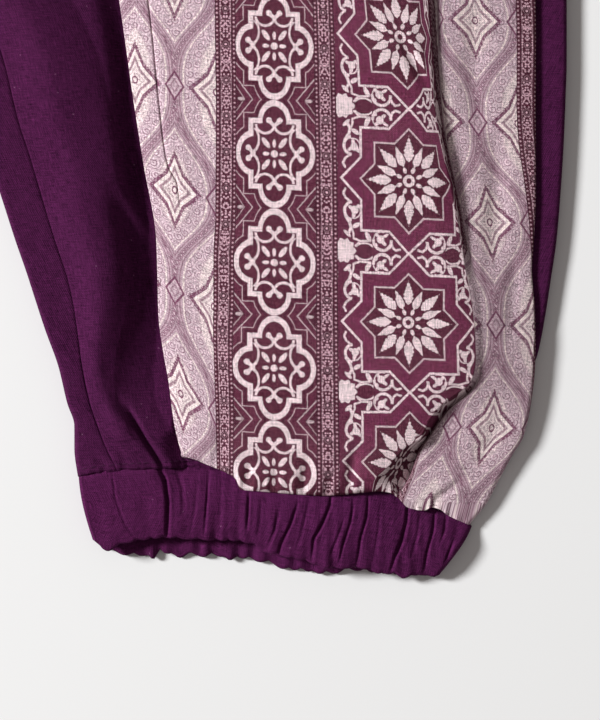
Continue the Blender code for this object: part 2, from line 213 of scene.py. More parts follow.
PRINT_CREASES = [
    Crease(1.6, 1.6, [(224.5, 195.1), (229, 187), (234, 178)], lip=0.5),
    Crease(0.7, 1.3, [(236.6, 25), (238.6, 29.4), (242.2, 31.6), (248.2, 36.5)], lip=0.2),
    Crease(1.2, 1.8, [(168, 31), (170, 36), (171, 42)]),
    Crease(0.9, 1.6, [(179, 30), (180, 36), (180.5, 41)]),
    Crease(1.3, 1.8, [(189.6, 29), (190.6, 37), (191.5, 44)]),
    Crease(1.0, 1.6, [(198.6, 29), (199.6, 34), (200.4, 40)]),
    Crease(1.3, 1.8, [(206.4, 30), (207.2, 38), (208.8, 48)]),
    Crease(0.8, 2.6, [(158, 38), (160, 46), (161, 56)]),
    Crease(0.5, 6.0, [(150, 120), (153, 95), (158, 75)]),
    Crease(0.6, 3.5, [(262, 60), (258, 50), (252, 40)]),
    Crease(0.6, 3.0, [(266.5, 120), (265.5, 100), (266, 85)]),
    Crease(1.2, 4.2, [(259.5, 162), (260, 136), (258.5, 110)]),
    Crease(0.8, 4.0, [(252, 207), (251.5, 182), (253.5, 158)]),
]
CUFF_CREASES = [
    Crease(
        2, 0.72, [(136.3, 42.8), (138.5, 39.6), (140.4, 35.8), (141.4, 28.4), (141.2, 20.9), (140.8, 14)], lip=0.25),
    Crease(0.59, 0.72, [(144.6, 39.2), (146.4, 33.5), (146.9, 27.7), (146.8, 23.4)], lip=0.06),
    Crease(0.34, 0.64, [(151.8, 38.2), (151.4, 27), (149.3, 15.8)]),
    Crease(0.68, 0.42, [(156, 39.2), (155.4, 28.4), (154.3, 15.1)], lip=0.06),
    Crease(0.42, 0.72, [(160.8, 36), (160.4, 25.2), (159.7, 14.4)]),
    Crease(0.94, 0.48, [(170.5, 31.7), (170.2, 25.2), (169.8, 18)], lip=0.12),
    Crease(0.42, 0.72, [(175.2, 29.9), (174.5, 21.6), (173.4, 13.3)]),
    Crease(0.68, 0.64, [(181.3, 25.9), (179.9, 18), (177, 10.8)], lip=0.06),
    Crease(1.2, 0.56, [(188.2, 27.7), (185.3, 19.4), (182, 12.6), (181, 7.2)], lip=0.15),
    Crease(0.42, 0.64, [(192.1, 28.8), (190.7, 21.6), (188.2, 11.5)]),
    Crease(1.5, 0.56, [(200.4, 31), (199.7, 26.6), (197.2, 20.5), (193.9, 14.8), (193.2, 6.5)], lip=0.22),
    Crease(0.94, 0.48, [(208.3, 28.8), (207.2, 20.9), (204.4, 12.6), (202.9, 5)], lip=0.12),
    Crease(0.59, 0.56, [(204.7, 21.6), (202.2, 14.4), (200, 8.6)], lip=0.06),
    Crease(1.2, 0.48, [(213.7, 31), (213, 22.7), (210.8, 15.1), (209.4, 4.3)], lip=0.15),
    Crease(0.34, 0.64, [(218, 28.8), (217.3, 18), (215.2, 5.4)]),
    Crease(1.5, 0.64, [(228.1, 27.7), (227.4, 20.9), (225.6, 13.7), (223.1, 7.9), (221.6, 1.8)], lip=0.22),
    Crease(0.42, 0.56, [(232.4, 24.5), (231.4, 16.2), (228.8, 6.5)], lip=0.06),
    Crease(1, 0.48, [(238.2, 27), (237.1, 18), (235, 10.1), (233.5, 1.4)], lip=0.12),
    Crease(0.85, 0.56, [(244.7, 14.4), (242.2, 7.9), (240, 0)], lip=0.12),
    Crease(0.51, 0.56, [(242.2, 24.5), (241.4, 18), (239.6, 12.6)], lip=0.06),
    Crease(0.42, 1.3, [(246.1, 19.1), (244.7, 12.6)]),
    Crease(0.42, 0.42, [(121.2, 40.3), (122.6, 28.8), (125.9, 20.2), (129.1, 15.5), (131.6, 11.9)], lip=0.06),
    Crease(0.42, 2.4, [(131.6, 33.8), (133.4, 24.5), (134.2, 14.4)]),
    Crease(0.34, 2.4, [(115.1, 28.8), (116.5, 21.6), (119.8, 12.6)]),
]


def curve(table, at):
    """Values of a curve through the rows (place, value) of a table, smooth and never overshooting."""
    places, values = np.array(table, float).T
    rates = np.diff(values) / np.diff(places)
    slopes = np.concatenate([rates[:1], np.zeros(len(rates) - 1), rates[-1:]])
    same = rates[:-1] * rates[1:] > 0
    slopes[1:-1][same] = 2 * (rates[:-1] * rates[1:])[same] / (rates[:-1] + rates[1:])[same]
    at = np.clip(at, places[0], places[-1])
    i = np.clip(np.searchsorted(places, at, side="right") - 1, 0, len(places) - 2)
    width = places[i + 1] - places[i]
    t = (at - places[i]) / width
    start = (1 + 2 * t) * (1 - t) ** 2 * values[i] + t * (1 - t) ** 2 * width * slopes[i]
    return start + t * t * (3 - 2 * t) * values[i + 1] + t * t * (t - 1) * width * slopes[i + 1]


def smooth(low, high, value):
    """0 up to low, 1 from high on, easing between them."""
    share = np.clip((np.asarray(value, float) - low) / (high - low), 0, 1)
    return share * share * (3 - 2 * share)


def bell(distance, width):
    """1 at no distance, easing to 0 some two widths away."""
    return np.exp(-((distance / width) ** 2))


def creased(x, up, creases):
    """How far creases lift (above 0) or sink (below 0) the cloth at each point."""
    lift = np.zeros(x.shape)
    for crease in creases:
        line = np.array(crease.line, float)
        lengths = np.concatenate([[0], np.cumsum(np.hypot(*np.diff(line, axis=0).T))])
        best = np.full(x.shape, 1e9)
        way, side = np.zeros(x.shape), np.zeros(x.shape)
        for (ax, ay), (bx, by), start, end in zip(line, line[1:], lengths, lengths[1:]):
            dx, dy = bx - ax, by - ay
            t = np.clip(((x - ax) * dx + (up - ay) * dy) / (dx * dx + dy * dy), 0, 1)
            away = np.hypot(x - ax - t * dx, up - ay - t * dy)
            near = away < best
            best = np.where(near, away, best)
            way = np.where(near, start + t * (end - start), way)
            side = np.where(near, np.sign((up - ay) * dx - (x - ax) * dy), side)
        taper = np.sin(math.pi * np.clip(way / lengths[-1], 0.02, 0.98)) ** 0.6
        across = best / crease.width
        lift -= crease.depth * taper * bell(across, 1)
        lift += crease.lip * taper * bell(side * across - 1.7, 1)
    return lift


def follow(rows, line, hem=None):
    """Where a line that runs up the leg crosses each row of cloth."""
    x = curve(line, rows)
    for _ in range(14):
        up = row_height(rows, x, hem)
        x = 0.5 * x + 0.5 * curve(line, up)
    return x


def row_height(rows, x, hem=None):
    """The height of points on rows of cloth, which follow the cuff's arch, and their own hem if they have one."""
    seam = curve(CUFF_SEAM, x)
    up = rows + curve(ARCH_FADE, rows) * (seam - SEAM_TOP)
    if hem is not None:
        up = up + (1 - smooth(SEAM_TOP, SEAM_TOP + 13, rows)) * (curve(hem, x) - seam)
    return up


def leg_rows(fine, start=SEAM_TOP):
    """The nominal heights of the rows of cloth, close together where the leg is full of folds."""
    low = np.arange(start, FOLDS_TOP, 1.25 / fine)
    middle = np.arange(FOLDS_TOP, CROTCH - 1, 2.6 / fine)
    high = np.arange(CROTCH + 1.5, WAIST_SEAM - 0.5, 8.0 / fine)
    return np.concatenate([low, middle, [CROTCH], high, [WAIST_SEAM]])


def steps(count, fine):
    """A number of columns or rows for a mesh of a fineness from 0 to 1."""
    return max(int(round(count * fine)), 2)


def spread(tracks, counts):
    """Columns spread evenly between tracks: their places, and the track and share that each lies at."""
    places, part, share = [tracks[0]], [0], [0.0]
    for k, count in enumerate(counts):
        for i in range(1, count + 1):
            t = i / count
            places.append(tracks[k] * (1 - t) + tracks[k + 1] * t)
            part.append(k)
            share.append(t)
    return np.concatenate(places, axis=1), np.array([part]), np.array([share])


def flat_cloth(points):
    """Flat-cloth coordinates: the way across each row, and the height."""
    gaps = np.linalg.norm(np.diff(points, axis=1), axis=2)
    across = np.concatenate([np.zeros((len(points), 1)), np.cumsum(gaps, axis=1)], axis=1)
    across -= across[:, across.shape[1] // 2][:, None]
    return np.stack([across, points[..., 1]], axis=2)


def way_along(points):
    """The real way from the first row of points to each row, as one number for the whole row."""
    gaps = np.linalg.norm(np.diff(points, axis=0), axis=2).mean(axis=1)
    return np.concatenate([[0], np.cumsum(gaps)])[:, None]


def make_cloth(name, points, cloth, material, thickness, ring=False, skip=None, mirror=False):
    """Cloth through a grid of points (rows, columns, xyz in mm), as a thin wall that goes in from them."""
    points, cloth = np.array(points, float), np.array(cloth, float)
    if mirror:
        points[..., 0] *= -1
        points, cloth = points[:, ::-1], cloth[:, ::-1]
        skip = None if skip is None else skip[:, ::-1]
    rows, columns = points.shape[:2]
    index = np.arange(rows * columns).reshape(rows, columns)
    right = np.roll(index, -1, axis=1) if ring else index[:, 1:]
    left = index if ring else index[:, :-1]
    quads = np.stack([left[:-1], right[:-1], right[1:], left[1:]], axis=2)
    if skip is not None:
        gone = skip[:-1, :-1] | skip[:-1, 1:] | skip[1:, :-1] | skip[1:, 1:]
        quads = quads[~gone]
    quads = quads.reshape(-1, 4)
    used = np.unique(quads)
    renumber = np.full(rows * columns, -1)
    renumber[used] = np.arange(len(used))
    placed = points.reshape(-1, 3)[used] * MM
    placed[:, 1] -= LENGTH / 2 * MM
    mesh = bpy.data.meshes.new(name)
    mesh.from_pydata(placed.tolist(), [], renumber[quads].tolist())
    mesh.uv_layers.new(name="Cloth")
    corners = cloth.reshape(-1, 2)[quads]
    if ring:
        width = cloth[:, -1, 0].max() - cloth[:, 0, 0].min() + 1.0
        jump = corners[..., 0].max(axis=1) - corners[..., 0].min(axis=1) > width / 2
        low = jump[:, None] & (corners[..., 0] < width / 2)
        corners[low, 0] += width
    mesh.uv_layers["Cloth"].data.foreach_set("uv", (corners.reshape(-1, 2) * MM).ravel().astype(np.float32))
    mesh.shade_smooth()
    mesh.materials.append(material)
    piece = bpy.data.objects.new(name, mesh)
    bpy.context.scene.collection.objects.link(piece)
    wall = piece.modifiers.new("Cloth wall", "SOLIDIFY")
    wall.thickness = thickness
    wall.offset = -1.0
    wall.use_even_offset = False
    return piece


# ---------------------------------------------------------------------------------------------------------
# Shapes of the panels. Each gives its points, its flat-cloth coordinates and the points to leave out, if any.
# ---------------------------------------------------------------------------------------------------------
ROLL = 1.8  # how far in from the outline a rolled edge has turned level
INNER_ROLL = 2.2  # the same at the inner side of a leg and at the ends of a cuff
STRIP_LAP = 2.2  # how far the back's outer strip runs in under the print
LOW_SEAM = (76.0, 87.0)  # below this stretch the side seam lies under the outline, and above it on top
WAIST_GATHERS = [  # share across the panel, length, depth
    (0.05, 46, 1.3), (0.11, 82, 1.7), (0.19, 38, 1.1), (0.25, 118, 2.0), (0.34, 55, 1.4), (0.41, 90, 1.7),
    (0.48, 34, 1.0), (0.56, 132, 2.1), (0.63, 48, 1.3), (0.7, 76, 1.6), (0.78, 40, 1.2), (0.85, 104, 1.9),
    (0.93, 58, 1.3),
]
HIP_CREASES = [
    Crease(2.0, 9, [(3, 282), (34, 312), (72, 352), (100, 400)]),
    Crease(-1.4, 8, [(2, 300), (28, 340), (52, 392)]),
    Crease(1.6, 7, [(2, 322), (16, 372), (24, 440)]),
    Crease(1.5, 12, [(118, 255), (100, 300), (88, 360), (86, 450)]),
    Crease(1.2, 10, [(60, 470), (66, 540), (58, 620)]),
    Crease(-1.0, 9, [(26, 520), (34, 610), (30, 700)]),
    Crease(1.2, 6, [(42, 230), (62, 252), (92, 268)]),
]
PRINT_HIDDEN_CREASES = [
    Crease(1.3, 10, [(160, 260), (168, 330), (164, 420)]),
    Crease(-0.9, 9, [(196, 300), (190, 400), (186, 500)]),
    Crease(1.4, 9, [(138, 430), (142, 520), (134, 640)]),
    Crease(1.1, 8, [(176, 540), (170, 640), (160, 730)]),
    Crease(1.0, 7, [(252, 330), (248, 450), (242, 560)]),
    Crease(0.9, 6, [(236, 580), (230, 680), (218, 760)]),
]


def waist_gathers(inner, outer, flip=False):
    """Creases that run down from the waist seam, uneven in place, length and depth."""
    found = []
    for share, length, depth in WAIST_GATHERS:
        share = 1 - share if flip else share
        top = inner[0] + (outer[0] - inner[0]) * share
        foot = inner[1] + (outer[1] - inner[1]) * share
        reach = length / 132
        line = [(top, WAIST_SEAM + 14), (top + (foot - top) * 0.35 * reach, WAIST_SEAM - length / 2),
                (top + (foot - top) * reach, WAIST_SEAM - length)]
        found.append(Crease(depth, 1.6 + length / 30, line))
    return found


def edge_groove(distance, depth, width):
    """How far the cloth sinks along a seam."""
    return -depth * bell(distance, width)


def pucker(x, rows):
    """Small uneven ripples that the gathered seam pulls into the cloth just above it."""
    ripple = np.sin(1.9 * x + 1.2 * np.sin(0.63 * x)) + 0.6 * np.sin(3.1 * x + 0.9 * np.sin(0.41 * x + 1))
    return 0.17 * ripple * np.exp(-((rows - SEAM_TOP) / 2.6))


FLUSH = 9.1  # the height of the cloth beside the inseam, where the leg meets the cuff
PRINT_LAP = 1.9  # how far the plain front runs in under the print
LOW_LAP = 14.0  # how much further it runs in beside the cuff


def plain_front(fine):
    """The plain inner front of a leg: from the inseam, down into a valley, to where it dips under the print."""
    rows = leg_rows(fine)[:, None]
    start = np.where(rows > CROTCH + 1, CENTRE_GAP, follow(rows, INSEAM))
    lap = LOW_LAP * (1 - smooth(44, 57, rows))
    end = follow(rows, [(h, x + PRINT_LAP) for h, x in PRINT_EDGE]) + lap
    x = spread([start, start + 0.4, start + 1.2, end - 1.5, end], [2, 2, steps(72, fine), 2])[0]
    up = row_height(rows, x)
    foot = curve(Z_INSEAM, up)
    z = foot + (curve(Z_PLAIN, up) - foot) * smooth(-4, curve(PLAIN_RISE, up), x - start)
    z -= 0.0075 * np.clip(x - start - 8.5, 0, 26) ** 2 * smooth(60, 130, up) * smooth(420, 260, up)
    past = x - curve(PLAIN_BROW, up)
    z -= curve(PLAIN_FALL, up) / (1 + np.exp(-past / curve(BROW_WIDTH, up)))
    z -= 0.3 * np.clip(past - 2, 0, 14) * (1 - smooth(112, 132, up)) * smooth(44, 60, up)
    z -= curve(UPPER_FALL, up) / (1 + np.exp((curve(UPPER_BROW, up) - x) / curve(UPPER_WIDTH, up)))
    z += (FLUSH - z) * (1 - smooth(134, 148, x)) * smooth(5, 0, rows - SEAM_TOP)
    z += creased(x, up, PLAIN_CREASES + HIP_CREASES + waist_gathers((6, 4), (58, 86)))
    z += edge_groove(x - start, 0.3, 0.35) + edge_groove(rows - SEAM_TOP, 0.3, 0.6)
    z += edge_groove(WAIST_SEAM - rows, 0.8, 0.9)
    beyond = x - (end - PRINT_LAP - lap)  # how far in under the print
    lid = curve(Z_PRINT_EDGE, up) - 1.3 - 0.7 * smooth(57, 50, rows) + 2.4 * smooth(0, -3, beyond)
    z = np.minimum(z, 6.4 + 4 * smooth(0.5, -8, beyond) + 7 * smooth(50, 64, rows))
    z = np.where(beyond > -0.5, np.minimum(z, lid), z)
    points = np.stack([x, up, np.maximum(z + pucker(x, rows), 3.0)], axis=2)
    return points, flat_cloth(points), None


PRINT_POINT = 0.36  # the unit of the print, in millimetres
STAR_COLUMN = [  # the place across of the middle of the star band, by height
    (28, 228.2), (41.8, 228.2), (67, 228.2), (92.5, 227.6), (117, 227.8), (142.9, 227.8), (169.9, 227.7),
    (195.1, 224.5), (208.8, 222.4), (260, 216), (900, 190),
]
BORDER_COLUMN = [(30, 203.3), (100, 202.6), (137, 202.4), (195, 201.2), (260, 198), (900, 180)]
CHAIN_COLUMN = [(30, 179.2), (140, 179.5), (208, 179.5), (900, 158)]
FOLD_CLOTH = [  # how far across the print the fold's edge lies, in print points
    (28, 92), (32.4, 98), (41.8, 115), (48.2, 133), (56.2, 152), (63.4, 170), (71, 196), (78.1, 206),
    (86, 207), (93.6, 207), (100.8, 204), (109, 200), (118.4, 196), (130, 190), (143, 186), (165, 190), (187, 200),
    (208.8, 206), (900, 206),
]
LOZENGE_COLUMN = [  # the place across of the middle of the outer ogee band, by height
    (19, 247.5), (28.8, 250), (42.5, 254), (54.7, 258.2), (69.8, 259.1), (91.8, 259.4), (128.9, 257.3),
    (165.2, 252.9), (202.7, 251.9), (300, 247), (600, 238), (860, 158),
]
LOZENGE_CLOTH = 311.0  # the place of that middle on the print, in print points
LEAN_OVER = 35.6
LEAN = [(43, 3.8), (56, 3), (68, 2.2), (104, 0), (900, 0)]  # how much of those millimetres the left part takes up
BORDER_SLIP = [  # how far the left narrow border is moved on the cloth, in print points, by height
    (36, 6), (47, 5.5), (61, 4), (75, 4), (88, 3), (102, 1), (116, 1), (130, -1.2), (170, -2), (197, -1), (240, 0),
    (900, 0),
]
# The height on the print, and the height up the leg that it comes to at the chain of quatrefoils.
CHAIN_HEIGHTS = [(-83.2, 32), (-76.03, 38.9), (-38.02, 76.3), (0, 114.1), (38.02, 153), (76.03, 191.5), (792, 907.5)]
# How much higher than that the cloth lies at other places, in millimetres.
LEFT_SLIP = [(30, -9.6), (45, -9.5), (68, -8.6), (104.4, -7.2), (140.4, -4.9), (178.2, -3.6), (260, -2), (900, -2)]
MIDDLE_SLIP = [(158.3, -1), (179.5, 0), (193, 0.6), (228.5, 2.5), (246, 3.2), (300, 3.2)]
RIGHT_SLIP = [(20, 4.6), (54.7, 4.8), (91.8, 5.3), (128.9, 6.6), (165.2, 9.3), (202.7, 11), (240, 11.6), (900, 11.6)]
CHAIN_LEFT = 158.3  # the left edge of the chain of quatrefoils
# Parts of the printed front, as the numbers of the tracks where they begin.
WALL, FLOOR, SLOT, RISE = 8, 9, 10, 11

# The print's own sizes, in print points from the middle of the chain of quatrefoils.
STAR_U, STAR_HALF, STAR_V, STAR_REPEAT = 136.0, 74.5, 85.5, 140.8
OGEE_U, OGEE_V, OGEE_WIDTH, OGEE_REPEAT = -99.0, 58.0, 80.0, 211.2
CHAIN_REPEAT = 105.6
BORDERS_U, BORDER_HALF, BORDER_REPEAT = (-49.0, 50.75, 220.75), 10.4, 35.2
BORDER_TRACK = 61.5  # the right edge of the border between the chain and the stars
PRINT_SPAN = (231.0, -179.0)  # beyond these the bands repeat


def print_place(x, up, fold_x, far_x, part, share, pocket, soft):
    """Where on the flat printed cloth each point lies, in millimetres across and up the print."""
    chain, border, star = curve(CHAIN_COLUMN, up), curve(BORDER_COLUMN, up), curve(STAR_COLUMN, up)
    edge_u = curve(FOLD_CLOTH, up)
    left = (x - chain) / (PRINT_POINT * (1 - curve(LEAN, up) / LEAN_OVER))
    left = left + curve(BORDER_SLIP, up) * bell(left - BORDERS_U[0], 23)
    inner = BORDER_TRACK * (x - chain) / (border - chain)
    outer = BORDER_TRACK + (STAR_U - BORDER_TRACK) * (x - border) / (star - border)
    room = np.maximum(fold_x - star, 0.5)
    reach = (x - star) / room
    begin = 1 / np.clip((edge_u - STAR_U) * PRINT_POINT / room, 1.0, 3.0)
    wide = edge_u > STAR_U + 6  # where the fold's edge lies well beyond the middle of the stars
    bent = reach * begin + (1 - begin) * np.abs(reach) ** 3 * reach
    past = STAR_U + np.where(wide, (edge_u - STAR_U) * bent, (x - star) / PRINT_POINT)
    u = np.select([x < chain, x < border, x < star], [left, inner, outer], past)
    lozenge = curve(LOZENGE_COLUMN, up)
    right = LOZENGE_CLOTH + (x - lozenge) / (PRINT_POINT * (1 + 0.05 * smooth(165, 200, up)))
    edge = np.where(wide, edge_u, STAR_U + (fold_x - star) / PRINT_POINT)
    far = LOZENGE_CLOTH + (far_x - lozenge) / PRINT_POINT
    room = (far_x - fold_x) / PRINT_POINT
    wall, floor = 14 + (0.8 * room - 6) * pocket, 18 * (1 - pocket) + 0.55 * room * pocket
    begin = (far - 4) * (1 - pocket) + 213 * pocket
    u = np.select([part == WALL, part == FLOOR, part == SLOT, part == RISE, part > RISE], [
        edge + wall * share, edge + wall + floor * share, (edge + wall + floor) * (1 - share) + begin * share,
        begin + (far - begin) * share, right,
    ], u)
    folded = (part >= WALL) & (part <= RISE)
    u = np.where(folded, u + soft * (right - u), u)
    slip = curve(MIDDLE_SLIP, x) - 0.8 * smooth(205, 225, x) * smooth(110, 92, up) * smooth(45, 62, up)
    at_left = -1 + (curve(LEFT_SLIP, up) + 1) * np.clip((CHAIN_LEFT - x) / 14.4, 0, 2.6)
    slip = np.where(x < CHAIN_LEFT, at_left, slip)
    beyond = curve(RIGHT_SLIP, up) + 0.035 * (x - lozenge)
    slip = np.select([part >= RISE, part == FLOOR], [beyond, slip * (1 - share) + beyond * share], slip)
    slip = np.where(folded, slip + soft * (beyond - slip), slip)
    on_print, on_leg = np.array(CHAIN_HEIGHTS).T
    return np.stack([u * PRINT_POINT, np.interp(up + slip, on_leg, on_print)], axis=2)


HEM_NOSE = [0, 0.12, 0.4, 0.8, 1.35, 2.0, 2.8, 3.7]  # rows that round the hem off, above the cuff seam
HEM_BASE = [(140, 8.6), (152, 8.2), (200, 8.0), (236, 7.4), (252, 5.5)]  # how high the rounding begins
EDGE_COLUMNS = ((1.6, 1.9, 2.6), (0.15, 0.9, 0.9))  # left edge: how far under, how far down, the cloth used
HEM_ROWS = ((4.0, 1.1, 4.5), (1.6, 1.0, 2.0), (0.35, 0.55, 0.6))  # the same for the hem
SIDE_TURN = 0.5 * math.pi + 0.55  # how far round the side edge turns


def print_panel(fine):
    """The printed outer front of a leg: left edge, tuck, long fold, outer part and the turn at the side."""
    rows = np.concatenate([SEAM_TOP + np.array(HEM_NOSE), leg_rows(fine, SEAM_TOP + 4.7)])[:, None]
    edge, tuck, fold, far, side = (
        follow(rows, line, PRINT_HEM) for line in (PRINT_EDGE, TUCK, FOLD_EDGE, FOLD_FAR, PRINT_SIDE))
    low = 1 - smooth(*LOW_SEAM, row_height(rows, side, PRINT_HEM))
    turn = 1.2 + (ROLL - 1.2) * low
    gap = far - fold
    pocket = smooth(84, 58, row_height(rows, fold, PRINT_HEM))  # 1 where the fold opens to a pocket by the cuff
    x, part, share = spread([
        edge, edge + 1.0, edge + 3.2, tuck - 0.2, tuck, tuck + 0.2, tuck + 1.0, fold - 3.0, fold,
        fold + (0.35 + 0.1 * pocket) * gap, fold + (0.7 + 0.1 * pocket) * gap, fold + (0.76 + 0.08 * pocket) * gap,
        far, far + 3.0, side - turn,
    ], [3, 3, steps(15, fine), 1, 1, 1, steps(84, fine), 6, 6, 6, 2, 4, 3, steps(34, fine)])
    up = row_height(rows, x, PRINT_HEM)
    z_edge, z_lobe, z_fold, z_outer, z_side = (
        curve(heights, up) for heights in (Z_PRINT_EDGE, Z_LOBE, Z_FOLD, Z_OUTER_LOBE, Z_SIDE))
    soft = smooth(66, 76, up) * smooth(124, 104, up)  # where the fold is only a soft slope
    lobe = z_edge + (z_lobe - z_edge) * curve(LOBE_SWELL, (x - edge) / (fold - edge))
    crest = z_edge + (z_lobe - z_edge) * LOBE_SWELL[-1][1]
    slope = 0.46 * pocket  # how much of the fall is left to the floor beside the cuff
    bottom = z_fold - 3.2 * pocket * smooth(0.5, 8, rows - SEAM_TOP)
    wall = bottom + (crest - bottom) * (1 - (1 - slope) * share ** (1.5 - 0.45 * pocket))
    floor = bottom + (crest - bottom) * slope * (1 - share)
    slot = bottom + (z_fold - bottom) * share
    lip = 0.4 * (1 - soft)
    across = np.clip((x - far) / (side - turn - far), 0, 1)
    outer = z_fold + lip + (z_side - z_fold - lip) * across
    outer += (z_outer - (z_fold + lip + z_side) / 2) * (curve(OUTER_SWELL, across) - OUTER_SWELL[-1][1] * across)
    z = np.select(
        [part < WALL, part == WALL, part == FLOOR, part == SLOT, part == RISE],
        [lobe, wall, floor, slot, z_fold + lip * share], outer)
    sloped = crest + (z_fold - crest) * smooth(-0.15, 1.1, (x - fold) / gap)
    z = np.where((part >= WALL) & (part <= RISE), z + soft * (sloped - z), z)
    z += creased(x, up, PRINT_CREASES + PRINT_HIDDEN_CREASES + waist_gathers((60, 92), (172, 240), flip=True))
    past = x - tuck
    ridge = 0.22 * smooth(0.1, 1.0, past) * smooth(14, 3, past) * (past > 0)
    z += smooth(128, 150, up) * (edge_groove(past, 1.1, 0.16) + ridge)
    z += edge_groove(WAIST_SEAM - rows, 0.8, 0.9) + 1.5 * pucker(x, rows)
    cloth = print_place(x, up, fold, far, part, share, pocket, soft)

    way = np.linspace(0, 1, 8)[1:]
    angle = way * SIDE_TURN
    tucked_in = smooth(math.pi / 2, 2.12, angle)  # 1 at the end of the turn, under the edge
    top = z[:, -1:]
    middle = (top - 1.0) * (1 - low) + 2.6 * low
    turned_x = side - turn + turn * np.sin(np.minimum(angle, math.pi / 2)) - (0.5 + 0.2 * low) * tucked_in
    turned_z = np.where(
        angle > math.pi / 2, middle - (1.0 + 0.8 * low) * tucked_in, middle + (top - middle) * np.cos(angle))
    turned = np.stack([turned_x, row_height(rows, turned_x, PRINT_HEM), turned_z], axis=2)
    turned_u = cloth[:, -1:, 0] + way * (turn + (top - middle)) * 1.05
    turned_cloth = np.stack([turned_u, np.repeat(cloth[:, -1:, 1], len(way), axis=1)], axis=2)
    edge_up = row_height(rows, edge, PRINT_HEM)
    points = [np.stack([edge + under, edge_up, z_edge[:, :1] - drop], axis=2) for under, drop, _ in EDGE_COLUMNS]
    points = np.concatenate([*points, np.stack([x, up, z], axis=2), turned], axis=1)
    shift = np.array([[[-used, 0] for _, _, used in EDGE_COLUMNS]])
    cloth = np.concatenate([cloth[:, :1] + shift, cloth, turned_cloth], axis=1)

    round_off = np.sqrt(1 - (1 - np.clip((rows - SEAM_TOP) / 5.0, 0, 1)) ** 2)
    base, height = curve(HEM_BASE, points[..., 0]), points[..., 2]
    points[..., 2] = np.where(height > base, base + (height - base) * round_off, height)
    points = np.concatenate([points[:1] + np.array([0, under, -drop]) for under, drop, _ in HEM_ROWS] + [points])
    points[..., 2] = np.maximum(points[..., 2], 1.0)
    cloth = np.concatenate([cloth[:1] - np.array([0, used]) for _, _, used in HEM_ROWS] + [cloth])
    return points, cloth, None


def back(fine):
    """The back of a leg: from the side seam round the outline, across underneath, and round to the inseam."""
    rows = leg_rows(fine)[:, None]
    outer, inner, seam = (follow(rows, line) for line in (OUTER_OUTLINE, INNER_OUTLINE, PRINT_SIDE))
    inseam = follow(rows, INSEAM) - 0.3
    high = smooth(*LOW_SEAM, row_height(rows, outer))
    body = rows > CROTCH + 1
    height = curve(Z_STRIP, row_height(rows, outer))
    strip_start = seam - STRIP_LAP
    strip_x = strip_start + (outer - ROLL - strip_start) * np.linspace(0, 1, steps(8, fine) + 1)
    turn_start = (1 - high) * 1.95
    angle = turn_start + (math.pi - turn_start) * np.linspace(0, 1, 11)
    roll_x = outer - ROLL + ROLL * np.sin(angle)
    roll_z = height / 2 * (1 + np.cos(angle))
    strip_x = high * strip_x + (1 - high) * roll_x[:, :1]
    strip_z = high * (height - 0.5 * np.exp(-((strip_x - strip_start) / 2))) + (1 - high) * roll_z[:, :1]
    reach = INNER_ROLL + (ROLL - INNER_ROLL) * smooth(CROTCH, CROTCH - 16, rows)
    foot = np.where(body, CENTRE_GAP, inner + reach)
    across = np.linspace(0, 1, steps(20, fine) + 1)[1:-1]
    under_x = roll_x[:, -1:] + (foot - roll_x[:, -1:]) * across
    z_in = curve(Z_INSEAM, row_height(rows, inner))
    angle = np.linspace(0, math.pi, 11)
    inner_x = np.where(body, CENTRE_GAP, inner + reach - reach * np.sin(angle))
    inner_z = z_in / 2 * (1 - np.cos(angle))
    flap_x = inner + reach + (inseam - inner - reach) * np.linspace(0, 1, steps(18, fine) + 1)[1:]
    flap_x = np.concatenate([flap_x, inseam + 0.5, inseam + 1.2, inseam + 2.2], axis=1)
    flap_z = np.repeat(z_in, flap_x.shape[1], axis=1)
    x = np.concatenate([strip_x[:, :-1], roll_x, under_x, inner_x, flap_x], axis=1)
    z = np.concatenate([strip_z[:, :-1], roll_z, np.zeros_like(under_x), inner_z, flap_z], axis=1)
    up = row_height(rows, x)
    flap = np.zeros(x.shape, bool)
    flap[:, -flap_x.shape[1]:] = True
    z += flap * (FLUSH - z) * smooth(5, 0, rows - SEAM_TOP)
    bump = np.clip(x - inner - reach, 0, None) / np.maximum(inseam - inner - reach, 0.5)
    z += flap * (0.15 * np.sin(math.pi * np.clip(bump, 0, 1)) + creased(x, up, PLAIN_CREASES) + pucker(x, rows))
    past = x - inseam
    z -= flap * (0.15 * smooth(-0.4, 0.1, past) + 0.7 * smooth(0, 0.9, past) + 0.5 * smooth(0.6, 2, past))
    z += (z > 4) * edge_groove(rows - SEAM_TOP, 0.3, 0.6)
    skip = np.zeros(x.shape, bool)
    skip[:, -(flap_x.shape[1] + inner_x.shape[1] - 1):] = True
    points = np.stack([x, up, np.maximum(z, 0)], axis=2)
    return points, flat_cloth(points), skip & body


# How the edge of a cuff or the waistband turns in, as (how far inwards, how far back from the edge).
TURNED_EDGE = [(2.3, 14.0), (2.3, 6.0), (2.0, 1.4), (1.5, 0.35), (0.9, 0.0), (0.35, 0.3)]
CUFF_WIDTHS = ((108.7, 251.4), (114.0, 239.0))  # the ends of the cuff at its seam and at its hem
CUFF_BOW = (-0.9, 2.6)  # how far its ends bow out between them, at the left and, beyond that, at the right
WAIST_HALF = 170.0


def tube_columns(front_steps, back_steps):
    """Columns round a flattened tube: the share of its width, the angle round it, and 1 in front to 0 behind."""
    front, behind = np.linspace(0, 1, front_steps + 1), np.linspace(1, 0, back_steps + 1)
    turn = np.linspace(0, 1, 9)[1:-1]
    share = np.concatenate([front, 1 + 0 * turn, behind, 0 * turn])
    angle = np.concatenate([0 * front, math.pi * turn, math.pi + 0 * behind, math.pi + math.pi * turn])
    return share, angle, (1 + np.cos(angle)) / 2


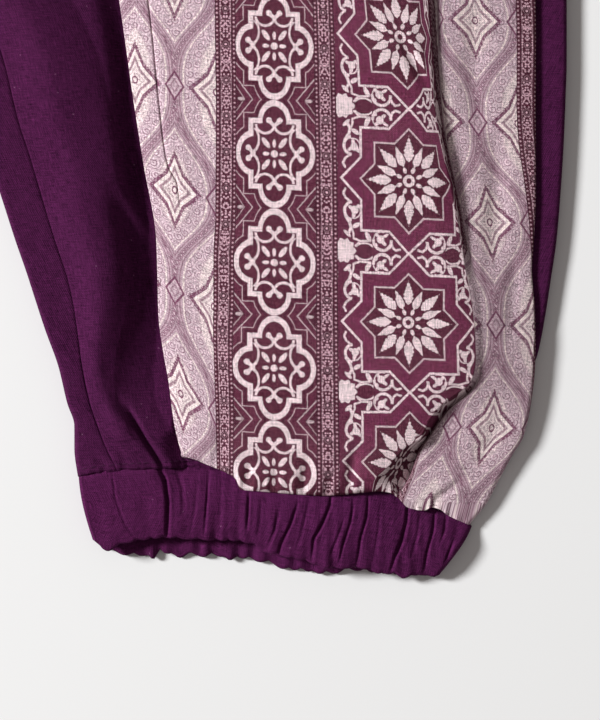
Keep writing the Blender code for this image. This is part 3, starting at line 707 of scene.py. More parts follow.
def drawn_in(x, z, angle, inward):
    """Places and heights round a flattened tube, moved into it."""
    pull = inward * (1 - np.abs(np.cos(angle)))
    return x + np.where(angle < math.pi, -pull, pull), z - inward * np.cos(angle)


def tube(rings):
    """The points and flat-cloth coordinates of a closed band of cloth, from its rings."""
    points = np.stack(rings)
    cloth = flat_cloth(points)
    cloth[..., 1] = way_along(points)
    return points, cloth, None


def cuff(fine):
    """A gathered cuff: a flattened tube from the seam to a hem that turns in, as one ring of columns."""
    share, angle, is_front = tube_columns(steps(400, fine), steps(120, fine))
    flat = angle == 0
    (top_left, top_right), (hem_left, hem_right) = CUFF_WIDTHS

    def ring(q, inward, lift):
        """One ring at a share q of the way to the hem, moved inwards and up from there."""
        top_x = top_left + (top_right - top_left) * share
        hem_x = hem_left + (hem_right - hem_left) * share
        bow = np.clip(4 * q * (1 - q), 0, 1) * (CUFF_BOW[0] + CUFF_BOW[1] * share)
        x = top_x + (hem_x - top_x) * q + bow
        nearest_end = np.minimum(share, 1 - share)
        x = x + INNER_ROLL * (1 - 2 * share) * (1 - np.abs(np.sin(angle))) * np.exp(-nearest_end * 30)
        seam = curve(CUFF_SEAM, x) - 0.12
        lobes = np.abs(np.sin(x * 0.56 + 0.8 * np.sin(x * 0.23) + 1.1 * (1 - is_front))) - 0.6
        ends = smooth(0, 0.06, share) * smooth(1, 0.96, share)
        hem = is_front * curve(FRONT_HEM, x) + (1 - is_front) * curve(BACK_HEM, x)
        hem = hem - lobes * ends * (0.7 + 0.5 * (1 - is_front)) * smooth(0.7, 1, q)
        up = seam + (hem - seam) * q
        lap = smooth(134, 148, x)  # where the printed hem lies on the cuff
        front_z = 9.0 - 2.6 * lap * bell(seam - up, 6.0) - 0.8 * smooth(0.75, 1.0, q) * (1 - lap)
        front_z = front_z - 1.2 * smooth(0.8, 1.0, q) * lap + 0.4 * np.sin(math.pi * q)
        front_z = front_z - 3.3 * smooth(0.66, 1.0, share) - 0.4 * smooth(0.06, 0, share)
        back_z = 0.55 * (1 + np.sin(x * 0.9 + 1.1 * np.sin(x * 0.37))) * smooth(0.45, 0.9, q) * ends
        z = is_front * front_z + (1 - is_front) * back_z
        z = z + flat * (creased(x, up, CUFF_CREASES) + edge_groove(seam - up, 0.25, 0.6) * (1 - lap))
        fan = x - (x - 178) * 0.06 * q
        ruffle = 0.28 * np.sin(fan * 0.78 + 0.9 * np.sin(fan * 0.31)) * smooth(0.4, 1, q)
        fine_ruffle = np.sin(fan * 1.37 + 1.3 * np.sin(fan * 0.19) + 1.5 * q) * (0.5 + 0.5 * smooth(0.3, 1, q))
        z = z + flat * (ruffle + 0.16 * fine_ruffle) * smooth(0.12, 0.36, share) * smooth(1, 0.95, share)
        x, z = drawn_in(x, z, angle, inward)
        x = x + inward * 0.5 * (smooth(0.02, 0, share) - smooth(0.98, 1, share))
        return np.stack([x, up + lift, np.maximum(z, 0)], axis=1)

    rings = [ring(1.0, inward, lift) for inward, lift in TURNED_EDGE]
    rings += [ring(q * 0.97, 0.0, 0.0) for q in np.linspace(0, 1, steps(36, fine) + 1)[::-1]]
    rings += [ring(q, inward, 0.0) for q, inward in ((-0.016, 0.35), (-0.03, 0.9), (-0.09, 1.3))]
    return tube(rings)


def waistband():
    """The gathered waistband: a flattened tube from the seam to a turned top edge."""
    share, angle, is_front = tube_columns(210, 105)
    nearest_end = np.minimum(share, 1 - share)
    flat_x = (share * 2 - 1) * WAIST_HALF
    flat_x = flat_x - 5.0 * (1 - np.abs(np.sin(angle))) * np.exp(-nearest_end * 40) * np.sign(share - 0.5)
    phase = 27 * share + 0.45 * np.sin(9.1 * share + 0.4) + 0.3 * np.sin(31 * share)
    ends = smooth(0, 0.02, share) * smooth(1, 0.98, share)

    def ring(q, inward, lift):
        """One ring at a share q of the way to the top, moved inwards and down from there."""
        up = WAIST_SEAM + 0.3 + (LENGTH - WAIST_SEAM - 1.2) * q
        up = up + 0.5 * np.sin(2 * math.pi * phase * 1.31) * smooth(0.7, 1, q)
        wave = (1 - np.cos(2 * math.pi * phase)) / 2
        lean = (1 - np.cos(2 * math.pi * (phase + 0.22 * q))) / 2
        dip = 2.1 * (0.35 * wave + 0.65 * lean) ** 1.6 * (0.65 + 0.35 * np.sin(7 * phase + 5 * share))
        middle = np.sin(math.pi * np.clip(q, 0, 1))
        top = 10.8 + 0.7 * middle - dip - 0.55 * bell(q - 0.5, 0.035) + edge_groove(up - WAIST_SEAM, 0.9, 1.2)
        x, z = drawn_in(flat_x, is_front * (9.6 + (top - 9.6) * ends), angle, inward)
        return np.stack([x, up - lift, np.maximum(z, 0)], axis=1)

    rings = [ring(q, 0, 0) for q in np.linspace(0, 0.97, 25)]
    return tube(rings + [ring(1.0, inward, lift) for inward, lift in reversed(TURNED_EDGE)])


# ---------------------------------------------------------------------------------------------------------
# Cloth materials. The print is drawn by arithmetic on flat-cloth coordinates, in print points.
# ---------------------------------------------------------------------------------------------------------
def ink(red, green, blue):
    """A colour given as 0 to 255 shades, as linear light."""
    return tuple((c / 255 / 12.92) if c <= 10.3 else ((c / 255 + 0.055) / 1.055) ** 2.4 for c in (red, green, blue))


def shaded(colour, *shares):
    """A colour multiplied by one share, or by a share each for red, green and blue."""
    return tuple(c * s for c, s in zip(colour, shares * 3 if len(shares) == 1 else shares))


def blended(first, second, share):
    """A colour between two others."""
    return tuple((1 - share) * a + share * b for a, b in zip(first, second))


def add_node(tree, kind, place, inputs=None, **settings):
    """A new node, whose inputs are given as numbers, or as the sockets that feed them."""
    made = tree.nodes.new(kind)
    made.location = place
    for name, value in settings.items():
        setattr(made, name, value)
    for name, value in (inputs or {}).items():
        feed(tree, made.inputs[name], value)
    return made


def feed(tree, socket, value):
    """Set a socket to a number or colour, or link it to the socket that is given."""
    value = getattr(value, "socket", value)
    if isinstance(value, bpy.types.NodeSocket):
        tree.links.new(value, socket)
    else:
        socket.default_value = value


class Value:
    """A number at each point of a cloth. Arithmetic on it adds shader nodes."""

    def __init__(self, sheet, socket):
        self.sheet, self.socket = sheet, socket

    def do(self, operation, *others, clamp=False):
        return self.sheet.math(operation, self, *others, clamp=clamp)

    __add__ = __radd__ = partialmethod(do, "ADD")
    __sub__ = partialmethod(do, "SUBTRACT")
    __mul__ = __rmul__ = partialmethod(do, "MULTIPLY")
    __abs__ = partialmethod(do, "ABSOLUTE")
    least = partialmethod(do, "MINIMUM")
    most = partialmethod(do, "MAXIMUM")
    above = partialmethod(do, "GREATER_THAN")
    below = partialmethod(do, "LESS_THAN")

    def __rsub__(self, other):
        return self.sheet.math("SUBTRACT", other, self)

    def __truediv__(self, number):
        return self * (1 / number)

    def times_plus(self, factor, more, clamp=False):
        return self.do("MULTIPLY_ADD", factor, more, clamp=clamp)

    def fold(self, period):
        """The distance to the nearest multiple of a period."""
        return self.do("PINGPONG", period / 2)

    def within(self, edge=0.0, blur=0.9):
        """1 where this distance is under the edge, 0 beyond it."""
        return self.times_plus(-1.0 / blur, 0.5 + edge / blur, clamp=True)

    def stroke(self, half, blur=0.8):
        """1 along the line where this distance is 0."""
        return abs(self).within(half, blur)


def merged(*shapes):
    """One shape from several, which are given as distances."""
    return reduce(lambda one, other: one.least(other), shapes)


def drawn(*marks):
    """Marks drawn over each other, the strongest showing."""
    return reduce(lambda one, other: one.most(other), marks)


class Sheet:
    """A shader node tree that is filled in from left to right."""

    def __init__(self, tree):
        self.tree, self.count = tree, 0

    def node(self, kind, inputs=None, **settings):
        place = (190 * (self.count // 12), -170 * (self.count % 12))
        self.count += 1
        return add_node(self.tree, kind, place, inputs, hide=True, **settings)

    def math(self, operation, *inputs, clamp=False):
        made = self.node("ShaderNodeMath", dict(enumerate(inputs)), operation=operation, use_clamp=clamp)
        return Value(self, made.outputs[0])

    def mix(self, share, first, second):
        made = self.node("ShaderNodeMix", data_type="RGBA")
        for name, value in (("Factor", share), ("A", first), ("B", second)):
            socket = next(s for s in made.inputs if s.name == name and s.enabled)
            feed(self.tree, socket, (*value, 1.0) if isinstance(value, tuple) else value)
        return Value(self, next(s for s in made.outputs if s.enabled))

    def point(self, x, y):
        return self.node("ShaderNodeCombineXYZ", {0: x, 1: y}).outputs[0]

    def vector(self, operation, first, second):
        made = self.node("ShaderNodeVectorMath", {0: first, 1: second}, operation=operation)
        return made.outputs["Value" if operation in ("DISTANCE", "DOT_PRODUCT") else "Vector"]

    def away(self, x, y, cx=0.0, cy=0.0):
        """The distance from a point of the cloth to (cx, cy)."""
        return Value(self, self.vector("DISTANCE", self.point(x, y), (cx, cy, 0)))

    def noise(self, x, y, scale, detail=2.0, roughness=0.5):
        inputs = {"Vector": self.point(x, y), "Scale": scale, "Detail": detail, "Roughness": roughness}
        return Value(self, self.node("ShaderNodeTexNoise", inputs, noise_dimensions="2D").outputs["Fac"])

    def scattered(self, here, scale, jitter):
        """A node that finds the nearest of many scattered dots."""
        inputs = {"Vector": here, "Scale": scale, "Randomness": jitter}
        return self.node("ShaderNodeTexVoronoi", inputs, voronoi_dimensions="2D", feature="F1")

    def cells(self, x, y, scale, jitter=1.0):
        """The distance to the nearest of many scattered dots, in units of their spacing."""
        return Value(self, self.scattered(self.point(x, y), scale, jitter).outputs["Distance"])

    def swirls(self, x, y, size, jitter, pitch):
        """Little spirals scattered over the cloth: (line, distance from the middle of the nearest one)."""
        here = self.point(x, y)
        middles = self.scattered(here, 1 / size, jitter)
        apart = self.node("ShaderNodeSeparateXYZ", {0: self.vector("SUBTRACT", here, middles.outputs["Position"])})
        angle = self.math("ARCTAN2", Value(self, apart.outputs[1]), Value(self, apart.outputs[0]))
        far = Value(self, middles.outputs["Distance"]) * size
        return (far + angle * (pitch / (2 * math.pi))).fold(pitch), far

    def eased(self, value, low, high, start, end):
        """A value taken from one range to another, with soft ends."""
        inputs = dict(enumerate((value, low, high, start, end)))
        return Value(self, self.node("ShaderNodeMapRange", inputs, interpolation_type="SMOOTHERSTEP").outputs[0])


def oval(sheet, x, y, cx, cy, rx, ry):
    """The distance to an oval's edge, below 0 inside."""
    near = sheet.away((x - cx) / rx, (y - cy) / ry)
    return (near - 1.0) * min(rx, ry) * (1 + 0.25 * (max(rx, ry) / min(rx, ry) - 1))


def leaf(sheet, x, y, cx, cy, degrees, long, wide):
    """An oval about (cx, cy) whose length lies along a direction."""
    c, s = math.cos(math.radians(degrees)), math.sin(math.radians(degrees))
    along = x.times_plus(c, y.times_plus(s, -cx * c - cy * s))
    across = x.times_plus(-s, y.times_plus(c, cx * s - cy * c))
    return oval(sheet, along, across, 0, 0, long, wide)


def strand(sheet, x, y, points, half):
    """The distance to the edge of a stroke drawn through points."""
    here, pieces = sheet.point(x, y), []
    for (ax, ay), (bx, by) in zip(points, points[1:]):
        dx, dy = bx - ax, by - ay
        length = dx**2 + dy**2
        start = sheet.vector("SUBTRACT", here, (ax, ay, 0))
        way = Value(sheet, sheet.vector("DOT_PRODUCT", start, (dx / length, dy / length, 0)))
        way = way.times_plus(1.0, 0.0, clamp=True)
        foot = sheet.vector("MULTIPLY", sheet.point(way, way), (dx, dy, 0))
        pieces.append(Value(sheet, sheet.vector("DISTANCE", start, foot)))
    return merged(*pieces) - half


def quatrefoil_chain(sheet, x, y):
    """Quatrefoils one above the other: (pale bold parts, pale thin lines, shade inside, dark)."""
    a = abs(x)
    b = y.fold(CHAIN_REPEAT)
    box = (a - 23.7).most(b - 32.0)
    body = merged(box, oval(sheet, a, b, 0, 31, 14.2, 18.6), oval(sheet, a, b, 21, 0, 16.2, 19.3))
    ring = body.stroke(2.5)
    outline = (body - 7.6).stroke(0.45, 0.7)
    shadow = (body - 4.6).stroke(0.9, 1.2)
    frame_top = (sheet.away(a, b, 9.2, 29.3) - 9.4).stroke(1.25) * b.below(28.5)
    frame_side = oval(sheet, a, b, 24.6, 13.6, 9.2, 13.0).stroke(1.2) * a.below(22.6) * b.below(24.5)

    steep = (a * 1.25).above(b)  # the fleurs at the sides are those at the top and the foot, turned
    along = b * (1.0 - steep) + a * steep - (steep * -6.2 + 27.6)
    across = a * (1.0 - steep) + b * steep
    stem = leaf(sheet, along, across, 2.2, 2.6, 48, 5.2, 1.9)
    fleur = merged(stem, sheet.away(along, across, 5.0, 5.3) - 2.9, sheet.away(along, across) - 2.4).within(0)
    flower = merged(
        leaf(sheet, a, b, 8.4, 10.6, 53, 6.0, 2.5), oval(sheet, a, b, 0, 10.2, 1.7, 3.9),
        oval(sheet, a, b, 8.4, 0, 3.3, 2.0), sheet.away(a, b) - 3.5).within(0)

    gap = CHAIN_REPEAT / 2 - b
    wedge_line = (((39.5 - a) / 17.5 + gap / 21.0 - 1.0) * 13.0).stroke(0.55, 0.8)
    small = (39.5 - a) / 9.0 + gap / 12.5 - 1.0
    small_line = (small * 7.0).stroke(0.4, 0.8)
    seed = oval(sheet, a, gap, 34.2, 0.0, 3.3, 1.7).within(0)
    bold = drawn(ring, fleur, flower, frame_top.most(frame_side) * 0.97)
    thin = drawn(outline, wedge_line, small_line * 0.8, seed)
    return bold, thin, body.within(0), shadow.most(small.within(0))


VINE_STEMS = [  # points of each stroke, and half its width
    ([(66.6, 36.5), (62.2, 43.0), (60.6, 48.5), (63.0, 52.6)], 1.5),
    ([(60.6, 47.5), (58.2, 53.0), (58.2, 58.0), (50.5, 60.6), (42.0, 60.0)], 1.0),
    ([(56.0, 65.4), (52.4, 62.0)], 1.1),
    ([(19.0, 60.0), (16.8, 65.6), (13.6, 68.0), (9.4, 66.8)], 1.15),
    ([(60.5, 23.6), (66.4, 19.0), (68.6, 14.6), (66.6, 10.6)], 1.1),
]
VINE_LEAVES = [  # middle, direction, half length and half width
    (64.6, 53.8, -42, 4.6, 1.9), (55.2, 45.4, 30, 4.4, 2.2), (42.8, 56.0, -62, 5.4, 2.4),
    (57.8, 35.4, 80, 3.2, 1.9), (60.8, 28.4, -30, 3.2, 1.7), (53.4, 27.4, 50, 2.8, 1.6),
    (24.6, 54.4, 30, 3.6, 1.5), (26.4, 61.4, -40, 3.2, 1.8), (33.2, 54.2, -45, 2.8, 1.7),
]
VINE_BUDS = [(35.0, 63.8, 2.2), (56.8, 30.6, 3.9), (29.8, 57.9, 3.9)]  # middle and radius
STAR_OUTER, STAR_INNER = 50.0, 35.8  # how far from its middle a star's two outlines run


def star_band(sheet, x, y):
    """Eight-pointed stars with a rosette in each, and vines between: (pale, inner line, ring, inside, dark)."""
    a, b = abs(x), y.fold(STAR_REPEAT)
    m, n = a.most(b), a.least(b)
    star = m.least((a + b) * (1 / math.sqrt(2)))
    inside = (star - STAR_INNER).within(0)
    between = (star - STAR_OUTER).within(0) * (1.0 - inside)

    c, s = math.cos(math.pi / 8), math.sin(math.pi / 8)
    along = m.times_plus(c, n * s)
    across = abs(n.times_plus(c, m * -s))
    saw = along.times_plus(0.9, across * 0.7).fold(4.4) * 0.5
    slim = drawn(across - (along - 14.2) * 0.8, across - (STAR_INNER - along) * 0.34, across - 3.7)
    stub = oval(sheet, along, across, 10.9, 0, 2.5, 1.6)
    long = along.times_plus(c, across * s)
    off = abs(across.times_plus(c, along * -s))
    broad = drawn(off - (long - 17.6) * 0.8, off - (43.6 - long) * 0.37, off - 4.9)
    petals = merged(broad + saw, slim + saw * 0.5, stub).within(0.35, 0.8)
    hub = (sheet.away(a, b) - 4.35).stroke(1.65)

    curls = drawn(
        (sheet.away(a, b, 58.6, 31.6) - 8.8).stroke(1.45) * a.above(60.0),
        (sheet.away(a, b, 58.0, 31.6) - 7.2).stroke(0.65) * a.below(60.0) * b.above(26.0),
        (sheet.away(a, b, 27.8, 59.0) - 9.4).stroke(1.45) * b.above(58.0),
        (sheet.away(a, b, 29.0, 59.0) - 8.2).stroke(0.6) * b.below(58.0) * a.above(26.0))
    parts = [strand(sheet, a, b, *stem) for stem in VINE_STEMS] + [leaf(sheet, a, b, *size) for size in VINE_LEAVES]
    parts += [sheet.away(a, b, cx, cy) - radius for cx, cy, radius in VINE_BUDS]
    spikes = sheet.math("ARCTAN2", b - 70.4, a - 68.0).fold(0.62) * 8.0
    rosette = sheet.away((a - 68.0) * 0.98, b - 70.4) + spikes - 12.6
    almond = oval(sheet, a, b, 46.4, 70.4, 9.8, 7.2)
    eyelid = (almond - 0.9).stroke(0.9) * a.above(38.0) * a.below(55.0)
    vines = drawn(merged(*parts, rosette).within(0), curls, eyelid)
    pale = drawn(petals, hub, vines * (50.6 - star).within(0), (star - STAR_OUTER).stroke(1.15))
    dark = almond.within(0).most((sheet.away(a, b) - 2.4).within(0))
    return pale, (star - STAR_INNER).stroke(0.85), between, inside, dark


def ogee_band(sheet, x, y):
    """Nested ogee curves round large and small lozenges: (lines, light from cream to grey, tint)."""
    a, b = x.fold(OGEE_WIDTH), y.fold(OGEE_REPEAT)
    half, rise = OGEE_WIDTH / 2, OGEE_REPEAT / 2
    edge = sheet.eased(b, rise, 0.0, 0.0, 1.0).do("POWER", 1.45) * half - a
    own = edge.above(0.0)
    side = abs(edge)
    ca = a * own + (half - a) * (1.0 - own)
    cb = b * own + (rise - b) * (1.0 - own)
    lozenge = (ca / 26.0 + cb / 27.0).least(ca / 16.0 + cb / 39.5)
    tiny = ((half - ca) / 9.5 + cb / 15.0).least(ca / 9.5 + (rise - cb) / 15.0)

    specks = (sheet.cells(x, y, 0.42, 1.0) - 0.34).within(0, 0.22)
    dots = (sheet.cells(x, y, 0.3, 0.8) - 0.26).within(0, 0.16)
    spiral, far = sheet.swirls(x, y, 10.5, 0.55, 2.9)
    curls = spiral.within(0.5, 0.7) * (far - 4.6).within(0, 0.6) * (0.5 - far).within(0, 0.8)
    scroll_zone = (side - 9.4).above(0.0) * (24.0 - side).above(0.0)

    bundle = (side - 7.4).within(0, 1.0)
    fine = (side + 0.7).fold(2.8).within(0.5, 0.7)
    chain = (side - 1.6).within(0, 0.8)
    beads = sheet.away(side * 0.7, (y * 0.7 + x * 0.7).fold(4.6) / 1.5)
    lines = drawn(
        bundle * (1.0 - chain) * fine.times_plus(0.5, 0.26), chain * (beads - 1.1).stroke(0.42, 0.4) * 0.85,
        (side - 10.2).stroke(0.45) * 0.5, scroll_zone * curls * 0.8,
        scroll_zone * (far - 6.2).stroke(0.5, 0.6) * 0.55, specks * 0.42, (side - 24.0).stroke(0.5) * 0.4)

    inside = (lozenge - 1.02).within(0, 0.04)
    teeth = (y - x * 0.8).fold(3.3) * 0.035 + (y + x * 1.1).fold(4.1) * 0.02
    fringe = (lozenge + teeth - 1.08).within(0, 0.05) * (0.87 - lozenge).within(0, 0.04)
    lines = drawn(
        lines * (1.0 - inside), fringe * specks.times_plus(-0.4, 0.95), (lozenge - 0.86).stroke(0.028, 0.04),
        (lozenge - 0.56).stroke(0.075, 0.05) * dots.times_plus(-0.3, 0.75),
        (lozenge - 0.36).stroke(0.02, 0.04) * 0.5, (lozenge - 0.34).within(0, 0.04) * dots * 0.6,
        (sheet.away(ca * 1.4, cb) - 3.4).stroke(0.8) * inside)
    gem = (tiny - 1.0).within(0, 0.1)
    lines = drawn(
        lines * (1.0 - gem), (tiny - 0.94).stroke(0.13, 0.1) * 0.95, (tiny - 0.42).stroke(0.1, 0.1) * 0.6,
        gem * specks * 0.45)

    cream = drawn(
        (side - 8.6).stroke(0.9, 0.8), (lozenge - 0.74).stroke(0.08, 0.06), (side - 24.0).within(0, 5.0) * -0.7 + 0.7)
    return lines, cream * (1.0 - gem) * (1.0 - bundle), drawn(bundle, gem * 0.5, fringe)


def narrow_border(sheet, x, y, half):
    """A narrow border of specks with small dark flowers: (pale, dark)."""
    a, b = abs(x), y.fold(BORDER_REPEAT)
    specks = (sheet.cells(x, y, 0.36, 0.9) - 0.34).within(0, 0.2)
    core = sheet.away(a, b)
    flower = (core - 4.1).within(0, 1.2)
    petals = (core - 2.9).stroke(0.35, 0.6) * 0.3
    between = (sheet.away(a, b, 0.0, BORDER_REPEAT / 2) - 2.4).stroke(0.5) * 0.75
    dots = (sheet.away(a - (half - 2.0), y.fold(4.4)) - 0.95).within(0)
    dark_line = (a - (half - 4.3)).stroke(0.5).most((a - (half - 0.4)).stroke(0.6))
    pale_line = (a - (half - 5.4)).stroke(0.35) * 0.5
    pale = (specks * 0.85).most(pale_line) * (1.0 - flower) * (1.0 - dark_line)
    pale = pale * (a - (half - 4.6)).within(0) + dots * 0.75
    return drawn(pale, (core - 1.15).within(0), petals, between), flower.most(dark_line)


def weave(sheet, x, y, pitch, strength, colour):
    """Plain weave and uneven yarns: (height for the bump, colour lighter on the raised crossings as painted shade,
    with the yarns' own uneven tone).
    """
    turn = 2 * math.pi / pitch
    over = ((x * turn).do("SINE") * (y * turn).do("SINE")).times_plus(0.5, 0.5)
    slub = (sheet.noise(x * 2.6, y * 0.22, 1.0, 2.0, 0.6) + sheet.noise(x * 0.22, y * 2.6, 1.0, 2.0, 0.6) - 1.0) * 1.6
    grain = sheet.noise(x, y, 1.9, 1.0, 0.7)
    # over lightens the colour where the crossings rise, which is painted shade of the weave; slub and grain add the
    # yarns' uneven tone
    tone = slub.times_plus(strength, over * (strength * 0.5)) + (grain - 0.5) * strength * 1.1
    tone = tone + (1.0 - strength * 0.25)
    scaled = sheet.node("ShaderNodeVectorMath", {0: colour, "Scale": tone}, operation="SCALE")
    return over * 0.6 + slub * 0.5, Value(sheet, scaled.outputs[0])


def blank_material(name, inputs):
    """A new material and its shader, with numbers set on the shader's own inputs."""
    material = bpy.data.materials.new(name)
    material.use_nodes = True
    shader = material.node_tree.nodes["Principled BSDF"]
    for label, value in inputs.items():
        shader.inputs[label].default_value = value
    return material, shader


def cloth_material(name, roughness, sheen):
    """A cloth's material and shader, and a sheet to draw on in flat-cloth coordinates, in millimetres."""
    material, shader = blank_material(
        name, {"Roughness": roughness, "Specular IOR Level": 0.03, "Sheen Weight": sheen, "Sheen Roughness": 0.45})
    sheet = Sheet(material.node_tree)
    place = sheet.node("ShaderNodeUVMap", uv_map="Cloth")
    split = sheet.node("ShaderNodeSeparateXYZ", {0: place.outputs[0]})
    x, y = (Value(sheet, split.outputs[k]) / MM for k in (0, 1))
    return material, shader, sheet, x, y


def finish_cloth(sheet, shader, colour, height, depth):
    """Give a cloth's shader its colour, and its weave as a bump of a depth in millimetres."""
    bump = sheet.node("ShaderNodeBump", {"Strength": 1.0, "Distance": depth * MM, "Height": height})
    feed(sheet.tree, shader.inputs["Normal"], bump.outputs[0])
    feed(sheet.tree, shader.inputs["Base Color"], colour)


PLUM_WEAVE, PRINT_WEAVE = 0.72, 0.74  # from one yarn to the next but one, in millimetres


def plum_material(name, colour, cloth):
    """Plain-weave plum cotton, with uneven yarns, painted shade on the weave's crossings, paler patches at random and
    a few flecks of lint.
    """
    material, shader, sheet, x, y = cloth_material(name, cloth.roughness, cloth.sheen)
    height, toned = weave(sheet, x, y, PLUM_WEAVE, 0.95, colour)
    patches = sheet.noise(x, y, 0.045, 3.0, 0.6)
    pale = tuple(c * 1.5 + 0.003 for c in colour)
    # Paler patches at random, from noise that does not follow the cloth's shape
    paler_patches = sheet.mix((patches - 0.5).times_plus(1.4, 0.2, clamp=True), toned, sheet.mix(0.35, toned, pale))
    chance = sheet.noise(x + 31.0, y, 0.5, 0.0)
    specks = (sheet.cells(x, y, 0.13, 1.0) - 0.035).within(0, 0.03) * (chance - 0.73).above(0.0) * cloth.lint
    finish_cloth(sheet, shader, sheet.mix(specks, paler_patches, ink(150, 105, 138)), height, 0.2)
    return material


def printed_material(name, look):
    """Printed plain-weave cotton: stars, quatrefoils and nested ogees in upright bands, with borders between."""
    material, shader, sheet, x_mm, y_mm = cloth_material(name, look.roughness, look.sheen)
    pale_ink, wine, magenta, light_ground, mauve = (
        tuple(c) for c in (look.pale_ink, look.wine, look.magenta, look.light_ground, look.mauve))
    wide = x_mm / PRINT_POINT + (sheet.noise(x_mm, y_mm, 1.1, 1.0) - 0.5)
    y = y_mm / PRINT_POINT + (sheet.noise(y_mm + 40.0, x_mm, 1.1, 1.0) - 0.5)
    x = wide.do("WRAP", *PRINT_SPAN)
    flush = (sheet.noise(x_mm, y_mm, 0.35, 3.0, 0.6) - 0.5).times_plus(3.0, 0.4, clamp=True)

    bold, thin, inside, shade = quatrefoil_chain(sheet, x - 0.5, y)
    chain = sheet.mix(inside, blended(magenta, wine, 0.65), wine)
    chain = sheet.mix(shade * 0.8, chain, shaded(wine, 0.6))
    chain = sheet.mix(thin * 0.62, sheet.mix(bold, chain, pale_ink), pale_ink)

    pale, ring, between, core, dark = star_band(sheet, x - STAR_U, y - STAR_V)
    star = sheet.mix(between, shaded(magenta, 0.82), sheet.mix(flush, magenta, shaded(magenta, 1.15, 0.95, 1.2)))
    star = sheet.mix(dark * 0.6, sheet.mix(core, star, wine), wine)
    star = sheet.mix(ring * 0.75, sheet.mix(pale, star, pale_ink), pale_ink)

    lines, cream, tint = ogee_band(sheet, x - OGEE_U, y - OGEE_V)
    light = sheet.mix(cream, light_ground, ink(232, 217, 214))
    light = sheet.mix(tint * 0.5, light, blended(light_ground, mauve, 0.45))
    light = sheet.mix(lines, light, mauve)

    near = merged(*(abs(x - middle) for middle in BORDERS_U))
    pale, dark = narrow_border(sheet, near, y, BORDER_HALF)
    border = sheet.mix(dark * 0.7, shaded(wine, 0.82), shaded(wine, 0.45))
    border = sheet.mix(pale, border, shaded(pale_ink, 0.88, 0.7, 0.78))

    colour = sheet.mix(abs(x - STAR_U).below(STAR_HALF), chain, star)
    colour = sheet.mix(x.below(BORDERS_U[0] - 10.0), colour, light)
    colour = sheet.mix(near.below(BORDER_HALF), colour, border)
    turn = 2 * math.pi / PRINT_WEAVE
    warp = ((x_mm + y_mm * 0.02) * turn).do("SINE") * (y_mm * turn).do("SINE")
    bare = (warp + sheet.noise(x_mm, y_mm, 1.4, 1.0) * 1.4 - 0.75).do("MULTIPLY", 0.3, clamp=True)
    # The weave lightens its raised crossings as painted shade, on top of the print and the yarns' uneven tone
    height, toned = weave(sheet, x_mm, y_mm, PRINT_WEAVE, 0.68, sheet.mix(bare, colour, ink(186, 138, 158)))
    finish_cloth(sheet, shader, toned, height, 0.1)
    return material


def thread_material(name, colour):
    """Twisted sewing thread: dark and light turns along its length."""
    material, shader = blank_material(name, {"Roughness": 0.8, "Specular IOR Level": 0.15})
    sheet = Sheet(material.node_tree)
    place = sheet.node("ShaderNodeTexCoord")
    wave = sheet.node("ShaderNodeTexNoise", {"Scale": 2600.0, "Vector": place.outputs["Object"]})
    toned = sheet.mix(Value(sheet, wave.outputs["Fac"]), shaded(colour, 0.55), shaded(colour, 1.7))
    feed(sheet.tree, shader.inputs["Base Color"], toned)
    return material


# ---------------------------------------------------------------------------------------------------------
# Stitches
# ---------------------------------------------------------------------------------------------------------
def stitch_tree():
    """Geometry Nodes: short stitches of thread along each path."""
    tree = bpy.data.node_groups.new("Stitches along paths", "GeometryNodeTree")
    for name, kind, value in (
        ("Paths", "NodeSocketGeometry", None), ("Stitch spacing", "NodeSocketFloat", 0.0026),
        ("Stitch length", "NodeSocketFloat", 0.0019), ("Thread thickness", "NodeSocketFloat", 0.0004),
        ("Unevenness", "NodeSocketFloat", 0.08), ("Seed", "NodeSocketInt", 7), ("Thread", "NodeSocketMaterial", None),
    ):
        socket = tree.interface.new_socket(name, in_out="INPUT", socket_type=kind)
        if value is not None:
            socket.default_value = value
    tree.interface.new_socket("Stitches", in_out="OUTPUT", socket_type="NodeSocketGeometry")
    add = partial(add_node, tree)
    given = add("NodeGroupInput", (-900, 0)).outputs
    curves = add("GeometryNodeMeshToCurve", (-680, 120), {0: given["Paths"]})
    points = add("GeometryNodeCurveToPoints", (-460, 120), {
        "Curve": curves.outputs[0], "Length": given["Stitch spacing"]}, mode="LENGTH").outputs
    bead = add("GeometryNodeMeshUVSphere", (-680, -260), {"Segments": 6, "Rings": 6, "Radius": 0.5})
    thickness = given["Thread thickness"]
    size = add("ShaderNodeCombineXYZ", (-680, -420), {0: thickness, 1: thickness, 2: given["Stitch length"]})
    stitch = add("GeometryNodeTransform", (-460, -260), {"Geometry": bead.outputs["Mesh"], "Scale": size.outputs[0]})
    negative = add("ShaderNodeMath", (-680, -120), {0: given["Unevenness"], 1: -1.0}, operation="MULTIPLY")
    uneven = add("FunctionNodeRandomValue", (-460, -60), {
        "Min": negative.outputs[0], "Max": given["Unevenness"], "Seed": given["Seed"]}, data_type="FLOAT_VECTOR")
    tilt = add("FunctionNodeRotateRotation", (-220, -40), {
        "Rotation": points["Rotation"], "Rotate By": uneven.outputs["Value"]}, rotation_space="LOCAL")
    placed = add("GeometryNodeInstanceOnPoints", (0, 120), {
        "Points": points["Points"], "Instance": stitch.outputs[0], "Rotation": tilt.outputs[0]})
    real = add("GeometryNodeRealizeInstances", (220, 120), {0: placed.outputs[0]})
    rounded = add("GeometryNodeSetShadeSmooth", (420, 120), {0: real.outputs[0]})
    sewn = add("GeometryNodeSetMaterial", (640, 120), {"Geometry": rounded.outputs[0], "Material": given["Thread"]})
    add("NodeGroupOutput", (900, 0), {0: sewn.outputs[0]})
    return tree


